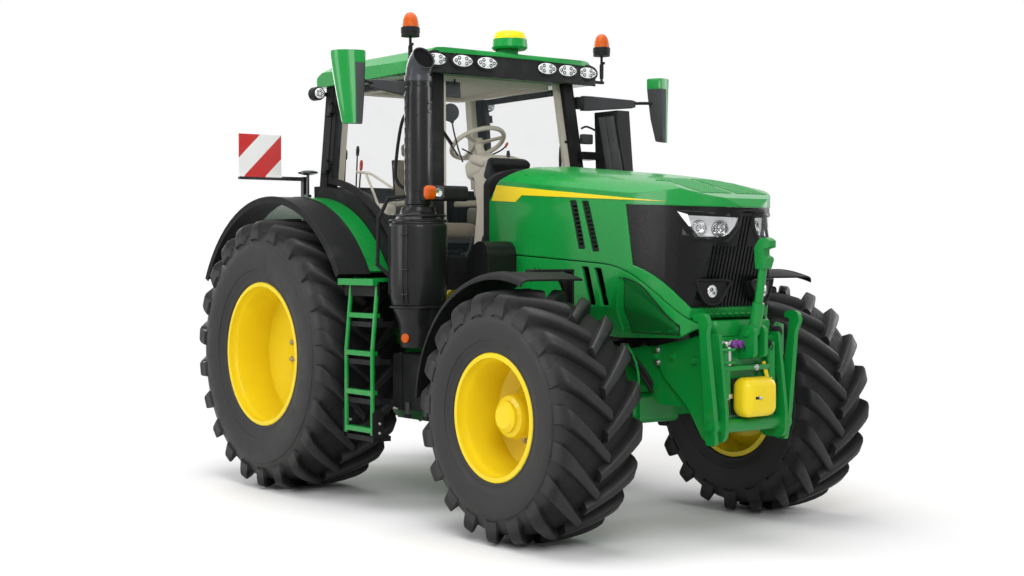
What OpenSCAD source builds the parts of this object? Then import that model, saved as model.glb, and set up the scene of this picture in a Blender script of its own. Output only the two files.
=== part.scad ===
// Row-crop farm tractor: four-post cab, front linkage, four driven wheels.
// Lengths are millimetres. X points forward, Y to the driver's left, Z up.
// The modules are drawn with X measured from the rear axle; place() moves that
// frame so that the origin is on the ground under the middle of the machine.

/* [Wheels] */
// Distance between the rear and front axles
wheelbase = 2900; // [2800:10:3000]
// Rear tyre diameter over the lugs
rear_tyre_d = 2040; // [1980:10:2080]
// Rear tyre width
rear_tyre_w = 710; // [650:10:710]
// Rear rim flange diameter
rear_rim_d = 1080; // [1000:10:1120]
// Distance between the rear tyres' middles
rear_track = 1930; // [1930:10:2000]
// Front tyre diameter over the lugs
front_tyre_d = 1560; // [1500:10:1580]
// Front tyre width
front_tyre_w = 600; // [540:10:600]
// Front rim flange diameter
front_rim_d = 790; // [740:10:820]
// Distance between the front tyres' middles
front_track = 2040; // [2040:10:2080]
// Height of the tread lugs
lug_h = 55; // [40:1:65]
// Tread lugs on each side of a rear tyre
rear_lugs = 22; // [18:1:24]
// Tread lugs on each side of a front tyre
front_lugs = 19; // [16:1:22]

/* [Axles] */
// Distance between the kingpins
kingpin_span = 1480; // [1440:10:1500]
// Kingpin radius
kingpin_r = 45; // [35:1:50]
// Radius of the wheel journals
journal_r = 60; // [50:1:65]
// Running clearance of pins and journals
pin_gap = 0.3; // [0.1:0.1:0.5]

/* [Bonnet] */
// Half width of the bonnet
bonnet_half_w = 440; // [420:5:445]
// Thickness of bonnet and side panels
panel_t = 22; // [15:1:28]
// Gap between the bonnet and what it closes on
panel_gap = 6; // [5:1:10]

/* [Cab] */
// Height of the cab floor
floor_z = 1600; // [1590:5:1620]
// Height of the roof's underside
roof_z = 3050; // [3000:10:3100]
// Thickness of the window glass
glass_t = 8; // [5:1:10]
// Thickness of the doors
door_t = 40; // [30:1:45]
// Gap around the doors
door_gap = 8; // [6:1:12]

/* [Fenders] */
// Radius of the rear fenders' outer face
fender_r = 1185; // [1175:5:1190]
// Fender plate thickness
fender_t = 18; // [12:1:20]
// Clearance from the front tyre to its fender
front_fender_gap = 90; // [70:5:100]

/* [Linkage] */
// Bar thickness of the front linkage arms
front_arm_t = 34; // [28:1:40]
// Length of the rear lower links
lower_link_l = 930; // [850:10:960]
// Radius of the drawbar's pin hole
drawbar_hole_r = 16.5; // [14:0.5:18]
// Radius of the power take-off shafts
pto_r = 17.5; // [15:0.5:22]

/* [Hidden] */
$fn = 96;

// Colours
leaf_green = [0.05, 0.42, 0.10];
sun_yellow = [0.95, 0.78, 0.05];
satin_black = [0.07, 0.07, 0.075];
rubber_black = [0.05, 0.05, 0.05];
trim_beige = [0.62, 0.58, 0.50];
clear_glass = [0.75, 0.82, 0.85, 0.35];
lamp_white = [0.9, 0.9, 0.9];
amber = [1.0, 0.45, 0.05];
board_red = [0.8, 0.08, 0.08];

// Gap left where two fixed pieces meet
seam = 0.3;

// Axle positions
rear_r = rear_tyre_d / 2;
front_r = front_tyre_d / 2;
rear_axle = [0, rear_r];
front_axle = [wheelbase, front_r];
kingpin_y = kingpin_span / 2;

// Overall reach from the rear axle, which sets the origin
front_reach = wheelbase + 1080;
rear_reach = 190 + lower_link_l + 60;
origin_shift = (rear_reach - front_reach) / 2;

// Bonnet length and cab height, which place the pieces along them by shares
bonnet_rear = 1740;
bonnet_nose = wheelbase + 905;
bonnet_l = bonnet_nose - bonnet_rear;
cab_h = roof_z - floor_z;
bay_l = wheelbase - front_r - rear_r;

function hood(share) = bonnet_rear + share * bonnet_l;
function cab_z(share) = floor_z + share * cab_h;
// Place in the bay between the rear and front tyres
function bay(share) = rear_r + share * bay_l;

module place() {
    translate([origin_shift, 0, 0]) children();
}

module both_sides() {
    children();
    mirror([0, 1, 0]) children();
}

// Solid cylinder along Y, centred on y
module bar_y(x, y, z, r, l) {
    translate([x, y, z]) rotate([90, 0, 0]) cylinder(h = l, r = r, center = true);
}

// Solid cylinder between two points
module rod(a, b, r) {
    d = b - a;
    translate(a)
        rotate([0, acos(d.z / norm(d)), atan2(d.y, d.x)])
            cylinder(h = norm(d), r = r);
}

// Bent tube through a list of points
module tube(points, r) {
    for (i = [0:len(points) - 2]) {
        rod(points[i], points[i + 1], r);
        if (i > 0) translate(points[i]) sphere(r = r + 2, $fn = 32);
    }
}

// Outline in X and Z, extruded from y0 over a thickness
module side_plate(points, y0, t) {
    translate([0, y0 + t, 0]) rotate([90, 0, 0]) linear_extrude(t) polygon(points);
}

// Outline in Y and Z, extruded from x0 over a length
module front_plate(points, x0, l) {
    translate([x0, 0, 0]) rotate([90, 0, 90]) linear_extrude(l) polygon(points);
}

// Block given by its two opposite corners
module block(a, b) {
    translate(a) cube(b - a);
}

// Straight prism between an outline at z0 and a matching outline at z1
module tapered_post(low, z0, high, z1) {
    n = len(low);
    polyhedron(
        points = concat([for (p = low) [p.x, p.y, z0]], [for (p = high) [p.x, p.y, z1]]),
        faces = concat(
            [[for (i = [0:n - 1]) i]],
            [[for (i = [n - 1:-1:0]) n + i]],
            [for (i = [0:n - 1]) [i, n + i, n + (i + 1) % n, (i + 1) % n]]));
}

function unit(v) = v / norm(v);
function wrap180(a) = a > 180 ? a - 360 : a < -180 ? a + 360 : a;
function xy(p) = [p.x, p.y];

// Fillet at corner b between a and c
function corner_arc(a, b, c, r, n) =
    let (u = unit(a - b), v = unit(c - b), half = acos(u * v) / 2,
        centre = b + unit(u + v) * r / sin(half),
        s = b + u * r / tan(half) - centre, e = b + v * r / tan(half) - centre,
        a0 = atan2(s.y, s.x), turn = wrap180(atan2(e.y, e.x) - a0))
    [for (i = [0:n]) centre + r * [cos(a0 + turn * i / n), sin(a0 + turn * i / n)]];

// Outline whose corners [x, y, r] are filleted by r
function rounded(pts, n = 5) = [for (i = [0:len(pts) - 1])
    let (p = pts[i], a = pts[(i + len(pts) - 1) % len(pts)], c = pts[(i + 1) % len(pts)])
    each p[2] == 0 ? [xy(p)] : corner_arc(xy(a), xy(p), xy(c), p[2], n)];

// Points along a cubic curve
function curve(a, b, c, d, n = 10) = [for (i = [0:n]) let (t = i / n, s = 1 - t)
    s * s * s * a + 3 * s * s * t * b + 3 * s * t * t * c + t * t * t * d];

// Points on a circle in X and Z around an axle
function arc_points(centre, r, from, to, n = 24) = [for (i = [0:n])
    let (a = from + (to - from) * i / n) centre + r * [cos(a), sin(a)]];

// Band between two radii around an axle
function arc_band(centre, r_out, r_in, from, to) =
    concat(arc_points(centre, r_out, from, to), arc_points(centre, r_in, to, from));

// Rectangle outlines, plain and with rounded corners
function rect(x0, y0, x1, y1) = [[x0, y0], [x1, y0], [x1, y1], [x0, y1]];
function soft_rect(x0, y0, x1, y1, r) = rounded([[x0, y0, r], [x1, y0, r], [x1, y1, r], [x0, y1, r]]);

// Whole outline from one half whose ends lie on the middle line
function mirrored(half, keep_x) = concat(half, [for (i = [len(half) - 2:-1:1])
    keep_x ? [half[i].x, -half[i].y] : [-half[i].x, half[i].y]]);

// Wheels

bead_share = 0.42;
bead_t = 48;
rim_lip = 18;
sidewall_t = 34;
crown_t = 46;
barrel_t = 14;
seat_gap = 0.5;

// Half section of a carcass from bead to crown, with its wall thickness taken off by wall
function tyre_half(d, w, rim_d, wall) =
    let (bead = w * bead_share, r_lip = rim_d / 2, r_top = d / 2 - lug_h, h = r_top - r_lip,
        y_side = w / 2 - wall * sidewall_t, r_end = r_top - wall * crown_t)
    concat(
        curve([r_lip + 2, bead - wall * bead_t], [r_lip + 0.12 * h, w * 0.49 - wall * bead_t],
            [r_lip + 0.25 * h, y_side], [r_lip + 0.5 * h, y_side], 6),
        curve([r_lip + 0.5 * h, y_side], [r_lip + 0.78 * h, y_side], [r_end, y_side], [r_end, 0], 10));

function flip_y(pts) = [for (i = [len(pts) - 1:-1:0]) [pts[i].x, -pts[i].y]];

function tyre_section(d, w, rim_d) =
    let (r_seat = rim_d / 2 - rim_lip, bead = w * bead_share, outer = tyre_half(d, w, rim_d, 0),
        inner = tyre_half(d, w, rim_d, 1), last = len(outer) - 2)
    concat([[r_seat, bead]], outer, [for (i = [1:last + 1]) flip_y(outer)[i]],
        [[r_seat, -bead], [r_seat, bead_t - bead]],
        [for (i = [0:last]) [inner[i].x, -inner[i].y]],
        flip_y([for (p = inner) [p.x, -p.y]]), [[r_seat, bead - bead_t]]);

// Tread lug: its sweep round the tyre, nose and shoulder widths and side draft
lug_sweep = 0.9;
lug_nose_w = 58;
lug_end_w = 100;
lug_draft = 16;
lug_cross = 0.03;

function lug_half_w(y, w) = lug_nose_w / 2 + (lug_end_w - lug_nose_w) * max(y, 0) / w;
function lug_nose_turn(d) = lug_nose_w / d * 180 / PI;

// Profile [y, r, draft] over the nose, crown and shoulder, and back inside the carcass
function lug_profile(d, w) = let (r = d / 2) [
    [-lug_cross * w, r / cos(lug_nose_turn(d)), 0], [0.24 * w, r - 0.06 * lug_h, 0],
    [0.465 * w, r - 0.42 * lug_h, 0], [0.498 * w, r - 2.9 * lug_h, 1], [0.455 * w, r - 2.8 * lug_h, 1],
    [0.25 * w, r - 1.75 * lug_h, 1], [-lug_cross * w, r - 1.45 * lug_h, 1]];

// Turn from the lug's nose to the place y on it; the nose itself is at zero
function lug_turn(y, d, w) = lug_sweep * (y + lug_cross * w) / (d / 2) * 180 / PI;

module lug(d, w) {
    profile = lug_profile(d, w);
    n = len(profile);
    sides = [[0, 1, 5], [0, 5, 6], [1, 2, 4], [1, 4, 5], [2, 3, 4]];
    polyhedron(
        points = [for (e = [-1, 1]) for (p = profile)
            let (a = lug_turn(p[0], d, w) + e * (lug_half_w(p[0], w) + p[2] * lug_draft) / p[1] * 180 / PI)
            [p[1] * cos(a), p[1] * sin(a), p[0]]],
        faces = concat(
            [for (f = sides) [f[2], f[1], f[0]]],
            [for (f = sides) [f[0] + n, f[1] + n, f[2] + n]],
            [for (i = [0:n - 1]) [i, (i + 1) % n, n + (i + 1) % n]],
            [for (i = [0:n - 1]) [i, n + (i + 1) % n, n + i]]));
}

module tyre(d, w, rim_d, lugs) {
    color(rubber_black)
    rotate([90, 0, 0]) {
        rotate_extrude($fn = 120) polygon(tyre_section(d, w, rim_d));
        for (i = [0:lugs - 1]) {
            rotate([0, 0, i * 360 / lugs - 90]) lug(d, w);
            rotate([0, 0, (i + 0.5) * 360 / lugs - 90]) mirror([0, 0, 1]) lug(d, w);
        }
    }
}

disc_t = 22;
disc_back = 14;
disc_dish = 60;
lip_edge = 6;
barrel_step = 16;
rim_bolts = 10;
bolt_circle_r = 212;
bolt_r = 16;
bolt_h = 24;
disc_flat_r = 262;

// Rim barrel with its rolled flanges, dished disc, hub and bolts; axis along Y, outer face to -Y
module rim(d, w, disc_y, hub, journal_l) {
    r_seat = d / 2 - rim_lip - seat_gap;
    r_in = r_seat - barrel_t;
    bead = w * bead_share + seat_gap;
    disc_rear = disc_y - disc_back;
    color(sun_yellow)
    rotate([90, 0, 0]) {
        rotate_extrude() polygon([
            [r_in, -bead - rim_lip], [d / 2 - lip_edge, -bead - rim_lip], [d / 2, lip_edge - bead - rim_lip],
            [d / 2, -bead], [r_seat, -bead], [r_seat, bead], [d / 2, bead],
            [d / 2, bead + rim_lip - lip_edge], [d / 2 - lip_edge, bead + rim_lip], [r_in, bead + rim_lip],
            [r_in - 2, bead - 20], [r_in - barrel_step, bead - 60],
            [r_in - barrel_step - 6, disc_y + disc_dish],
            [r_in, disc_rear]]);
        rotate_extrude() polygon([
            [0, disc_rear], [disc_flat_r, disc_rear], [r_in - 4, disc_y + disc_dish - 6],
            [r_in - 4, disc_y + disc_dish + disc_t], [disc_flat_r - 4, disc_rear + disc_t],
            [0, disc_rear + disc_t]]);
        translate([0, 0, disc_y]) rotate_extrude() polygon(hub);
        for (i = [0:rim_bolts - 1])
            rotate([0, 0, (i + 0.5) * 360 / rim_bolts])
                translate([bolt_circle_r, 0, disc_y])
                    cylinder(h = disc_t - disc_back + bolt_h, r = bolt_r, $fn = 24);
        translate([0, 0, disc_y - journal_l]) cylinder(h = journal_l, r = journal_r);
    }
}

// Reach of the front hub face from the kingpin, and of the rear disc from the tyre's middle
hub_reach = 170;
front_disc_y = kingpin_y + hub_reach - front_track / 2;
rear_disc_y = -95;
rear_hub_gap = 10;
rear_journal_l = 90;
front_journal_l = 70;

module rear_rim() {
    rim(rear_rim_d, rear_tyre_w, rear_disc_y,
        [[0, 0], [172, 0], [172, 24], [150, 34], [96, 34], [96, 74], [82, 86], [0, 86]], rear_journal_l);
}

module front_rim() {
    rim(front_rim_d, front_tyre_w, front_disc_y,
        [[0, 0], [176, 0], [176, 22], [146, 40], [138, 60], [138, 222], [126, 250], [98, 262], [98, 280],
            [70, 300], [0, 300]], front_journal_l);
}

module at_rear_wheel(side) {
    translate([0, side * rear_track / 2, rear_r])
        mirror([0, side > 0 ? 1 : 0, 0]) children();
}

module at_front_wheel(side) {
    translate([wheelbase, side * front_track / 2, front_r])
        mirror([0, side > 0 ? 1 : 0, 0]) children();
}

// Axles and drive line

trans_half_w = 285;
trans_front = 1960;
trans_rear = -330;

// Axle trumpets with a flange at each end
module rear_axle_housing() {
    outer = rear_track / 2 + rear_disc_y - disc_back - rear_hub_gap;
    inner = trans_half_w;
    color(leaf_green) both_sides() difference() {
        translate([0, 0, rear_r]) rotate([-90, 0, 0]) rotate_extrude() polygon([
            [0, inner], [205, inner], [205, inner + 36], [172, inner + 52], [122, outer - 120], [122, outer - 74],
            [142, outer - 60], [142, outer], [0, outer]]);
        bar_y(0, outer, rear_r, journal_r + pin_gap, 2 * rear_journal_l);
    }
}

module transmission() {
    color(leaf_green) {
        side_plate(rounded([
            [trans_rear, rear_r - 380, 60], [420, rear_r - 420, 60], [1300, rear_r - 380, 60],
            [trans_front, rear_r - 380, 0], [trans_front, rear_r + 200, 0], [900, rear_r + 220, 40],
            [420, rear_r + 380, 60], [trans_rear, rear_r + 380, 60]]),
            -trans_half_w, 2 * trans_half_w);
        bar_y(lift_pivot.x, 0, lift_pivot.y, link_pin_r, 2 * (link_y + link_t + 8));
        bar_y(rockshaft.x, 0, rockshaft.y, rockshaft_r, 2 * (link_y + lift_arm_t + 8));
    }
}

engine_half_w = 245;
engine_front = wheelbase + 180;
sump_front = wheelbase - 220;
engine_top = front_r + 1040;
engine_foot = trans_front + 60;

module engine_block() {
    color(leaf_green) {
        side_plate([
            [trans_front, front_r - 20], [sump_front, front_r - 20], [sump_front, front_r + 220],
            [engine_front, front_r + 220], [engine_front, engine_top], [engine_foot, engine_top],
            [engine_foot, rear_r + 200], [trans_front, rear_r + 200]],
            60 - engine_half_w, 2 * engine_half_w - 120);
        both_sides() side_plate([[engine_foot, engine_top - 120], [engine_foot, engine_top],
            [bonnet_hinge.x + 30, bonnet_hinge.y], [bonnet_hinge.x - 30, bonnet_hinge.y],
            [bonnet_hinge.x - 30, engine_top + 80], [trans_front - 40, engine_top - 120]], hinge_post_y - 30, 30);
        both_sides() block([engine_foot - 10, hinge_post_y - 30, engine_top - 120],
            [engine_foot + 70, hinge_post_y, engine_top]);
        bar_y(bonnet_hinge.x, 0, bonnet_hinge.y, bonnet_pin_r, 2 * (hinge_post_y + 50));
        bar_y(bonnet_hinge.x, 0, bonnet_hinge.y, bonnet_pin_r + 16, 2 * hinge_post_y);
    }
}

rail_t = 45;
rail_rear = 1500;
rail_arch_z = front_r + 160;
support_top = front_r + 410;
support_front = wheelbase + 660;

// Two frame rails with the front support that carries axle and linkage
module main_frame() {
    rail = rounded([[rail_rear, front_r + 40, 0], [wheelbase - 300, front_r + 40, 40],
        [wheelbase - 200, rail_arch_z, 40], [wheelbase + 220, rail_arch_z, 40],
        [wheelbase + 340, front_r + 50, 40], [support_front, front_r + 50, 0], [support_front, support_top, 0],
        [wheelbase + 220, support_top, 60], [wheelbase - 300, support_top - 100, 60],
        [rail_rear, support_top - 150, 0]]);
    color(leaf_green) difference() {
        union() {
            both_sides() side_plate(rail, engine_half_w - rail_t, rail_t);
            block([support_front - 300, rail_t - engine_half_w, support_top - 180],
                [support_front, engine_half_w - rail_t, support_top]);
        }
        block([rail_rear - 100, -trans_half_w, front_r - 180], [trans_front, trans_half_w, support_top + 110]);
    }
}

beam_half_h = 85;
boss_r = 92;

module front_axle_beam() {
    inner = kingpin_y - boss_r + 12;
    color(leaf_green) difference() {
        union() {
            side_plate(soft_rect(wheelbase - 95, front_r - 105, wheelbase + 95, front_r + 105, 40), -170, 340);
            side_plate(soft_rect(wheelbase - 75, front_r - 70, wheelbase + 75, front_r + 70, 30),
                -inner, 2 * inner);
            both_sides() translate([wheelbase, kingpin_y, front_r - beam_half_h])
                cylinder(h = 2 * beam_half_h, r = boss_r);
            block([wheelbase - 75, -engine_half_w, front_r + 60], [wheelbase + 75, engine_half_w, rail_arch_z]);
        }
        both_sides() translate([wheelbase, kingpin_y, front_r - 2 * beam_half_h])
            cylinder(h = 4 * beam_half_h, r = kingpin_r + pin_gap);
    }
}

// Steering knuckle: kingpin, two yoke arms and the wheel hub drum
knuckle_drum_r = 150;
drum_in = boss_r + 14;
drum_out = hub_reach - disc_back - 8;
arm_clear = 6;
arm_t = 34;

module knuckle() {
    arm_z = beam_half_h + arm_clear;
    color(leaf_green)
    translate([wheelbase, -kingpin_y, front_r]) difference() {
        union() {
            cylinder(h = 2 * (arm_z + arm_t), r = kingpin_r, center = true);
            for (m = [0, 1]) mirror([0, 0, m]) translate([0, 0, arm_z]) linear_extrude(arm_t) union() {
                circle(r = boss_r - 12);
                polygon(rect(-70, -drum_in - 20, 70, 0));
            }
            translate([0, -drum_in, 0]) rotate([90, 0, 0]) cylinder(h = drum_out - drum_in, r = knuckle_drum_r);
        }
        translate([0, -drum_out - 1, 0]) rotate([-90, 0, 0])
            cylinder(h = front_journal_l + 6, r = journal_r + pin_gap);
    }
}

// Front fender on its post, turning with the knuckle
front_fender_in = 800;
front_fender_out = 1265;
front_fender_r = front_r + front_fender_gap;
front_fender_arc = [52, 176];
sheet_t = 12;
fender_post_y = front_track / 2 - front_tyre_w / 2 - 26;
post_half_l = 45;
post_t = 16;

module front_fender() {
    top_z = front_r + front_fender_r;
    post_z = front_r + beam_half_h + arm_clear + arm_t;
    lip_in = front_fender_r - 34;
    x0 = wheelbase - post_half_l;
    x1 = wheelbase + post_half_l;
    color(satin_black) {
        side_plate(arc_band(front_axle, front_fender_r + sheet_t, front_fender_r, front_fender_arc[1],
            front_fender_arc[0]), -front_fender_out, front_fender_out - front_fender_in);
        side_plate(arc_band(front_axle, front_fender_r + 4, lip_in, front_fender_arc[1], front_fender_arc[0]),
            -front_fender_out - 8, 8);
        block([x0, -fender_post_y, post_z], [x1, post_t - fender_post_y, top_z + 24]);
        block([x0, -front_fender_in - 200, top_z + 10], [x1, post_t - fender_post_y, top_z + 26]);
        block([x0, -kingpin_y - 40, post_z], [x1, post_t - fender_post_y, post_z + post_t]);
    }
}

// Bonnet

bonnet_hinge = [1785, 2270];
bonnet_pin_r = 14;
hinge_post_y = 180;
bonnet_slope = atan(195 / bonnet_l);
crease_z = 2250;
lip_z = 1335;
grille_low = 1420;
grille_rear = 0.6852;
panel_low = 1240;

// Lower edge of the bonnet, from the nose back to the cab
function bonnet_lower_edge() = concat(
    curve([hood(0.9443), lip_z], [hood(0.8426), 1440], [hood(0.7554), 1700], [hood(0.5617), 1716], 12),
    [[bonnet_rear, 1785]]);

function bonnet_side_outline(t) = concat(
    [[bonnet_rear - 10 * t, panel_low - 40], [bonnet_rear - 10 * t, 2135 - t]],
    t > 0 ? [[bonnet_rear - 10 * t, 2376 - t]] : [[hood(0.0436), 2250 - t]],
    curve([hood(0.1065), 2372 - t], [hood(0.4649), 2400 - t], [hood(0.8039), 2235 - t],
        [bonnet_nose - 40 - t, 2108 - t]),
    [[bonnet_nose - t, 2050 - t], [bonnet_nose - 22 - t, 2030 - t], [bonnet_nose - 200 - t, lip_z],
        [bonnet_nose - 200 - t, panel_low - 40]]);

function bonnet_plan_half(t) = concat(
    [[bonnet_rear - 500, 0], [bonnet_rear - 500, bonnet_half_w - t]],
    curve([hood(0.6828), bonnet_half_w - t], [hood(0.8814), bonnet_half_w - 15 - t],
        [bonnet_nose - 10 - t, 330 - t], [bonnet_nose - t, 0]));

function bonnet_section_half(t) = concat(
    [[0, 0], [bonnet_half_w + 20 - t, 0]],
    curve([bonnet_half_w + 20 - t, crease_z], [bonnet_half_w - 40 - t, crease_z + 85 - t],
        [300, crease_z + 140 - t], [0, crease_z + 150 - t]));

// Height of the crease along the bonnet
function crease_at(x) = crease_z * cos(bonnet_slope)
    - (x - bonnet_rear - crease_z * sin(bonnet_slope)) * tan(bonnet_slope);

// Bonnet's full volume, shrunk by t on the outside
module bonnet_volume(t) {
    intersection() {
        side_plate(bonnet_side_outline(t), -600, 1200);
        translate([0, 0, 1000]) linear_extrude(1600) polygon(mirrored(bonnet_plan_half(t), true));
        translate([bonnet_rear, 0, 0]) rotate([0, bonnet_slope, 0])
            front_plate(mirrored(bonnet_section_half(t), false), -800, bonnet_l + 1800);
    }
}

module above_lower_edge(drop) {
    edge = [for (p = bonnet_lower_edge()) p - [0, drop]];
    far = bonnet_nose + 400;
    near = bonnet_rear - 540;
    side_plate(concat(edge, [[near, 1785 - drop], [near, 2700], [far, 2700], [far, lip_z - drop]]),
        -700, 1400);
}

module bonnet_shell(inset) {
    intersection() {
        difference() {
            bonnet_volume(inset);
            bonnet_volume(panel_t);
        }
        above_lower_edge(0);
    }
}

// The black grille field wraps the nose and the sides' front ends
module grille_field(gap) {
    far = bonnet_nose + 400;
    side_plate(concat(
        [[hood(grille_rear) + gap, 2080 - gap], [far, 2035 - gap], [far, grille_low + gap],
            [hood(0.9298), grille_low + gap]],
        curve([hood(0.9201), 1430 + gap], [hood(0.862), 1560 + gap], [hood(0.8136), 1650 + gap],
            [hood(0.7143) + gap, 1705 + gap], 6)), -700, 1400);
}

lamp_top = 2020;
lamp_low = 1858;

// One headlamp field seen from the front, on the right side
module lamp_field(gap) {
    front_plate(rounded([[-600, lamp_top + gap, 0], [gap - 50, lamp_top - 4 + gap, 20], [gap - 95, 1905, 40],
        [-200, lamp_low - gap, 40], [-330, lamp_low + 22 - gap, 40], [-600, 1960, 0]]),
        hood(0.8886) - gap, 1000);
}

// Slanted air slots in the bonnet's sides, as [top x, top z, bottom x, bottom z]
slot_w = 70;
upper_slots = [[hood(0.4378), 2118, hood(0.4814), 1803], [hood(0.4959), 2112, hood(0.5482), 1786]];
lower_slots = [[hood(0.4964), 1690, hood(0.5327), 1445], [hood(0.5569), 1682, hood(0.5932), 1445]];

function slot_outline(s, gap) = let (w = slot_w / 2 - gap)
    rounded([[s[0] - w, s[1] - gap, 8], [s[0] + w, s[1] - gap, 20], [s[2] + w, s[3] + gap, 8],
        [s[2] - w, s[3] + gap, 8]]);

module air_slots(slots, gap) {
    for (s = slots) side_plate(slot_outline(s, gap), -700, 1400);
}

module bonnet() {
    ear = [[-28, -26], [28, -26], [330, 30], [330, 66], [-28, 26]];
    color(leaf_green) difference() {
        union() {
            difference() {
                bonnet_shell(0);
                grille_field(0);
                air_slots(upper_slots, 0);
            }
            both_sides() translate([bonnet_hinge.x, 0, bonnet_hinge.y]) side_plate(ear, hinge_post_y + 6, 30);
        }
        both_sides() bar_y(bonnet_hinge.x, hinge_post_y, bonnet_hinge.y, bonnet_pin_r + pin_gap, 200);
    }
}

louvre_pitch = 27;
louvre_h = 13;

// Louvred inserts in the bonnet's air slots
module bonnet_vents() {
    color(satin_black) difference() {
        intersection() {
            bonnet_shell(8);
            air_slots(upper_slots, 0.4);
        }
        for (s = upper_slots) for (z = [s[3] + louvre_pitch:louvre_pitch:s[1] - louvre_pitch]) {
            x = s[0] + (s[2] - s[0]) * (s[1] - z) / (s[1] - s[3]);
            block([x - slot_w / 2 + 14, -600, z], [x + slot_w / 2 - 14, 600, z + louvre_h]);
        }
    }
}

// Stripe along the crease: deep at the cab, slim and pointed towards the nose
module side_stripes() {
    outline = [[hood(0.017), crease_at(hood(0.017)) - 6], [hood(0.8523), crease_at(hood(0.8523)) - 4],
        [hood(0.179), crease_at(hood(0.179)) - 58], [hood(0.1453), crease_at(hood(0.1453)) - 108],
        [hood(0.0135), crease_at(hood(0.0135)) - 118]];
    color(sun_yellow) intersection() {
        difference() {
            bonnet_volume(-3);
            bonnet_volume(-seam);
        }
        both_sides() side_plate(outline, bonnet_half_w - 40, 100);
    }
}

slat_pitch = 30;
slat_w = 13;
slat_half_span = 240;
nose_lamp = [188, 1534];
bezel_front = bonnet_nose - 122;
bezel_depth = 110;
bezel_open = 0.74;
nose_lens_r = 30;

// Bezel of a small lamp low in the nose: wide at the top, rounded below
function bezel_outline(share) = share * rounded([[-92, 58, 14], [-30, -62, 34], [30, -62, 34], [92, 58, 14]]);

module at_nose_lamps() {
    both_sides() translate([0, nose_lamp[0], nose_lamp[1]]) children();
}

module grille() {
    color(satin_black) difference() {
        union() {
            grille_face();
            at_nose_lamps() front_plate(bezel_outline(1), bezel_front - bezel_depth, bezel_depth);
        }
        at_nose_lamps() front_plate(bezel_outline(bezel_open), bezel_front - bezel_depth + 40, 300);
    }
}

// Slatted face of the grille with the openings for the headlamps
module grille_face() {
    difference() {
        intersection() {
            bonnet_shell(5);
            grille_field(0.4);
        }
        both_sides() lamp_field(0.8);
        for (y = [-slat_half_span:slat_pitch:slat_half_span])
            block([hood(0.86), y - slat_w / 2, grille_low + 20],
                [bonnet_nose + 50, y + slat_w / 2, abs(y) < 50 ? 2000 : lamp_low - 40]);
    }
}

module headlamps() {
    color(lamp_white) {
        both_sides() intersection() {
            bonnet_shell(7);
            grille_field(0.4);
            lamp_field(0.4);
        }
        at_nose_lamps() translate([bezel_front - bezel_depth + 40 + seam, 0, 0]) rotate([0, 90, 0])
            cylinder(h = 34, r = nose_lens_r);
    }
}

// Fixed engine side panels below the bonnet

function side_panel_outline() = concat(
    [for (p = bonnet_lower_edge()) if (p.x > bonnet_rear) p - [0, panel_gap]],
    [[bonnet_rear + 120, 1776 - panel_gap], [bonnet_rear + 120, panel_low + 60],
        [hood(0.6102), panel_low], [hood(0.8814), panel_low + 20], [hood(0.9201), 1310]]);

panel_waist_z = 1430;
panel_foot_half_w = 345;
mesh_depth = 9;

// Cross-section inside a side panel's outer face, shrunk by inset
function panel_section(inset) = [[0, 1800], [0, panel_low - 10], [panel_foot_half_w - inset - 5, panel_low - 10],
    [bonnet_half_w - inset, panel_waist_z], [bonnet_half_w - inset, 1800]];

module panel_body(inset) {
    intersection() {
        front_plate(panel_section(inset), bonnet_rear - 140, bonnet_l + 400);
        translate([0, 0, 1000]) linear_extrude(900) polygon(bonnet_plan_half(inset));
    }
}

// Sunk mesh field below the collar that runs round the grille
module mesh_field() {
    side_plate(concat([[hood(0.635), panel_low + 40], [hood(0.86), panel_low + 62], [hood(0.885), 1330]],
        curve([hood(0.86), 1370], [hood(0.8), 1470], [hood(0.74), 1580], [hood(0.655), 1628], 6)), 0, 700);
}

module side_panels() {
    color(leaf_green) both_sides() {
        difference() {
            intersection() {
                panel_body(0);
                side_plate(side_panel_outline(), 0, 600);
            }
            panel_body(panel_t);
            difference() {
                mesh_field();
                panel_body(mesh_depth);
            }
            air_slots(lower_slots, 0);
        }
        for (share = [0.1985, 0.586])
            block([hood(share), engine_half_w - 60, 1500], [hood(share) + 40, bonnet_half_w - panel_t + 5, 1530]);
    }
}

// Front linkage

link_pivot = [wheelbase + 890, 735];
cheek_t = 26;
cross_tube_r = 42;
front_pin_r = 24;
front_arm_y = 300;
arm_splay = 7;
// Room that the splayed arms take beside the cross tube
splay_room = cross_tube_r * tan(arm_splay) + 2;
headstock_front = support_front + 200;
guard_z = 905;

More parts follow.
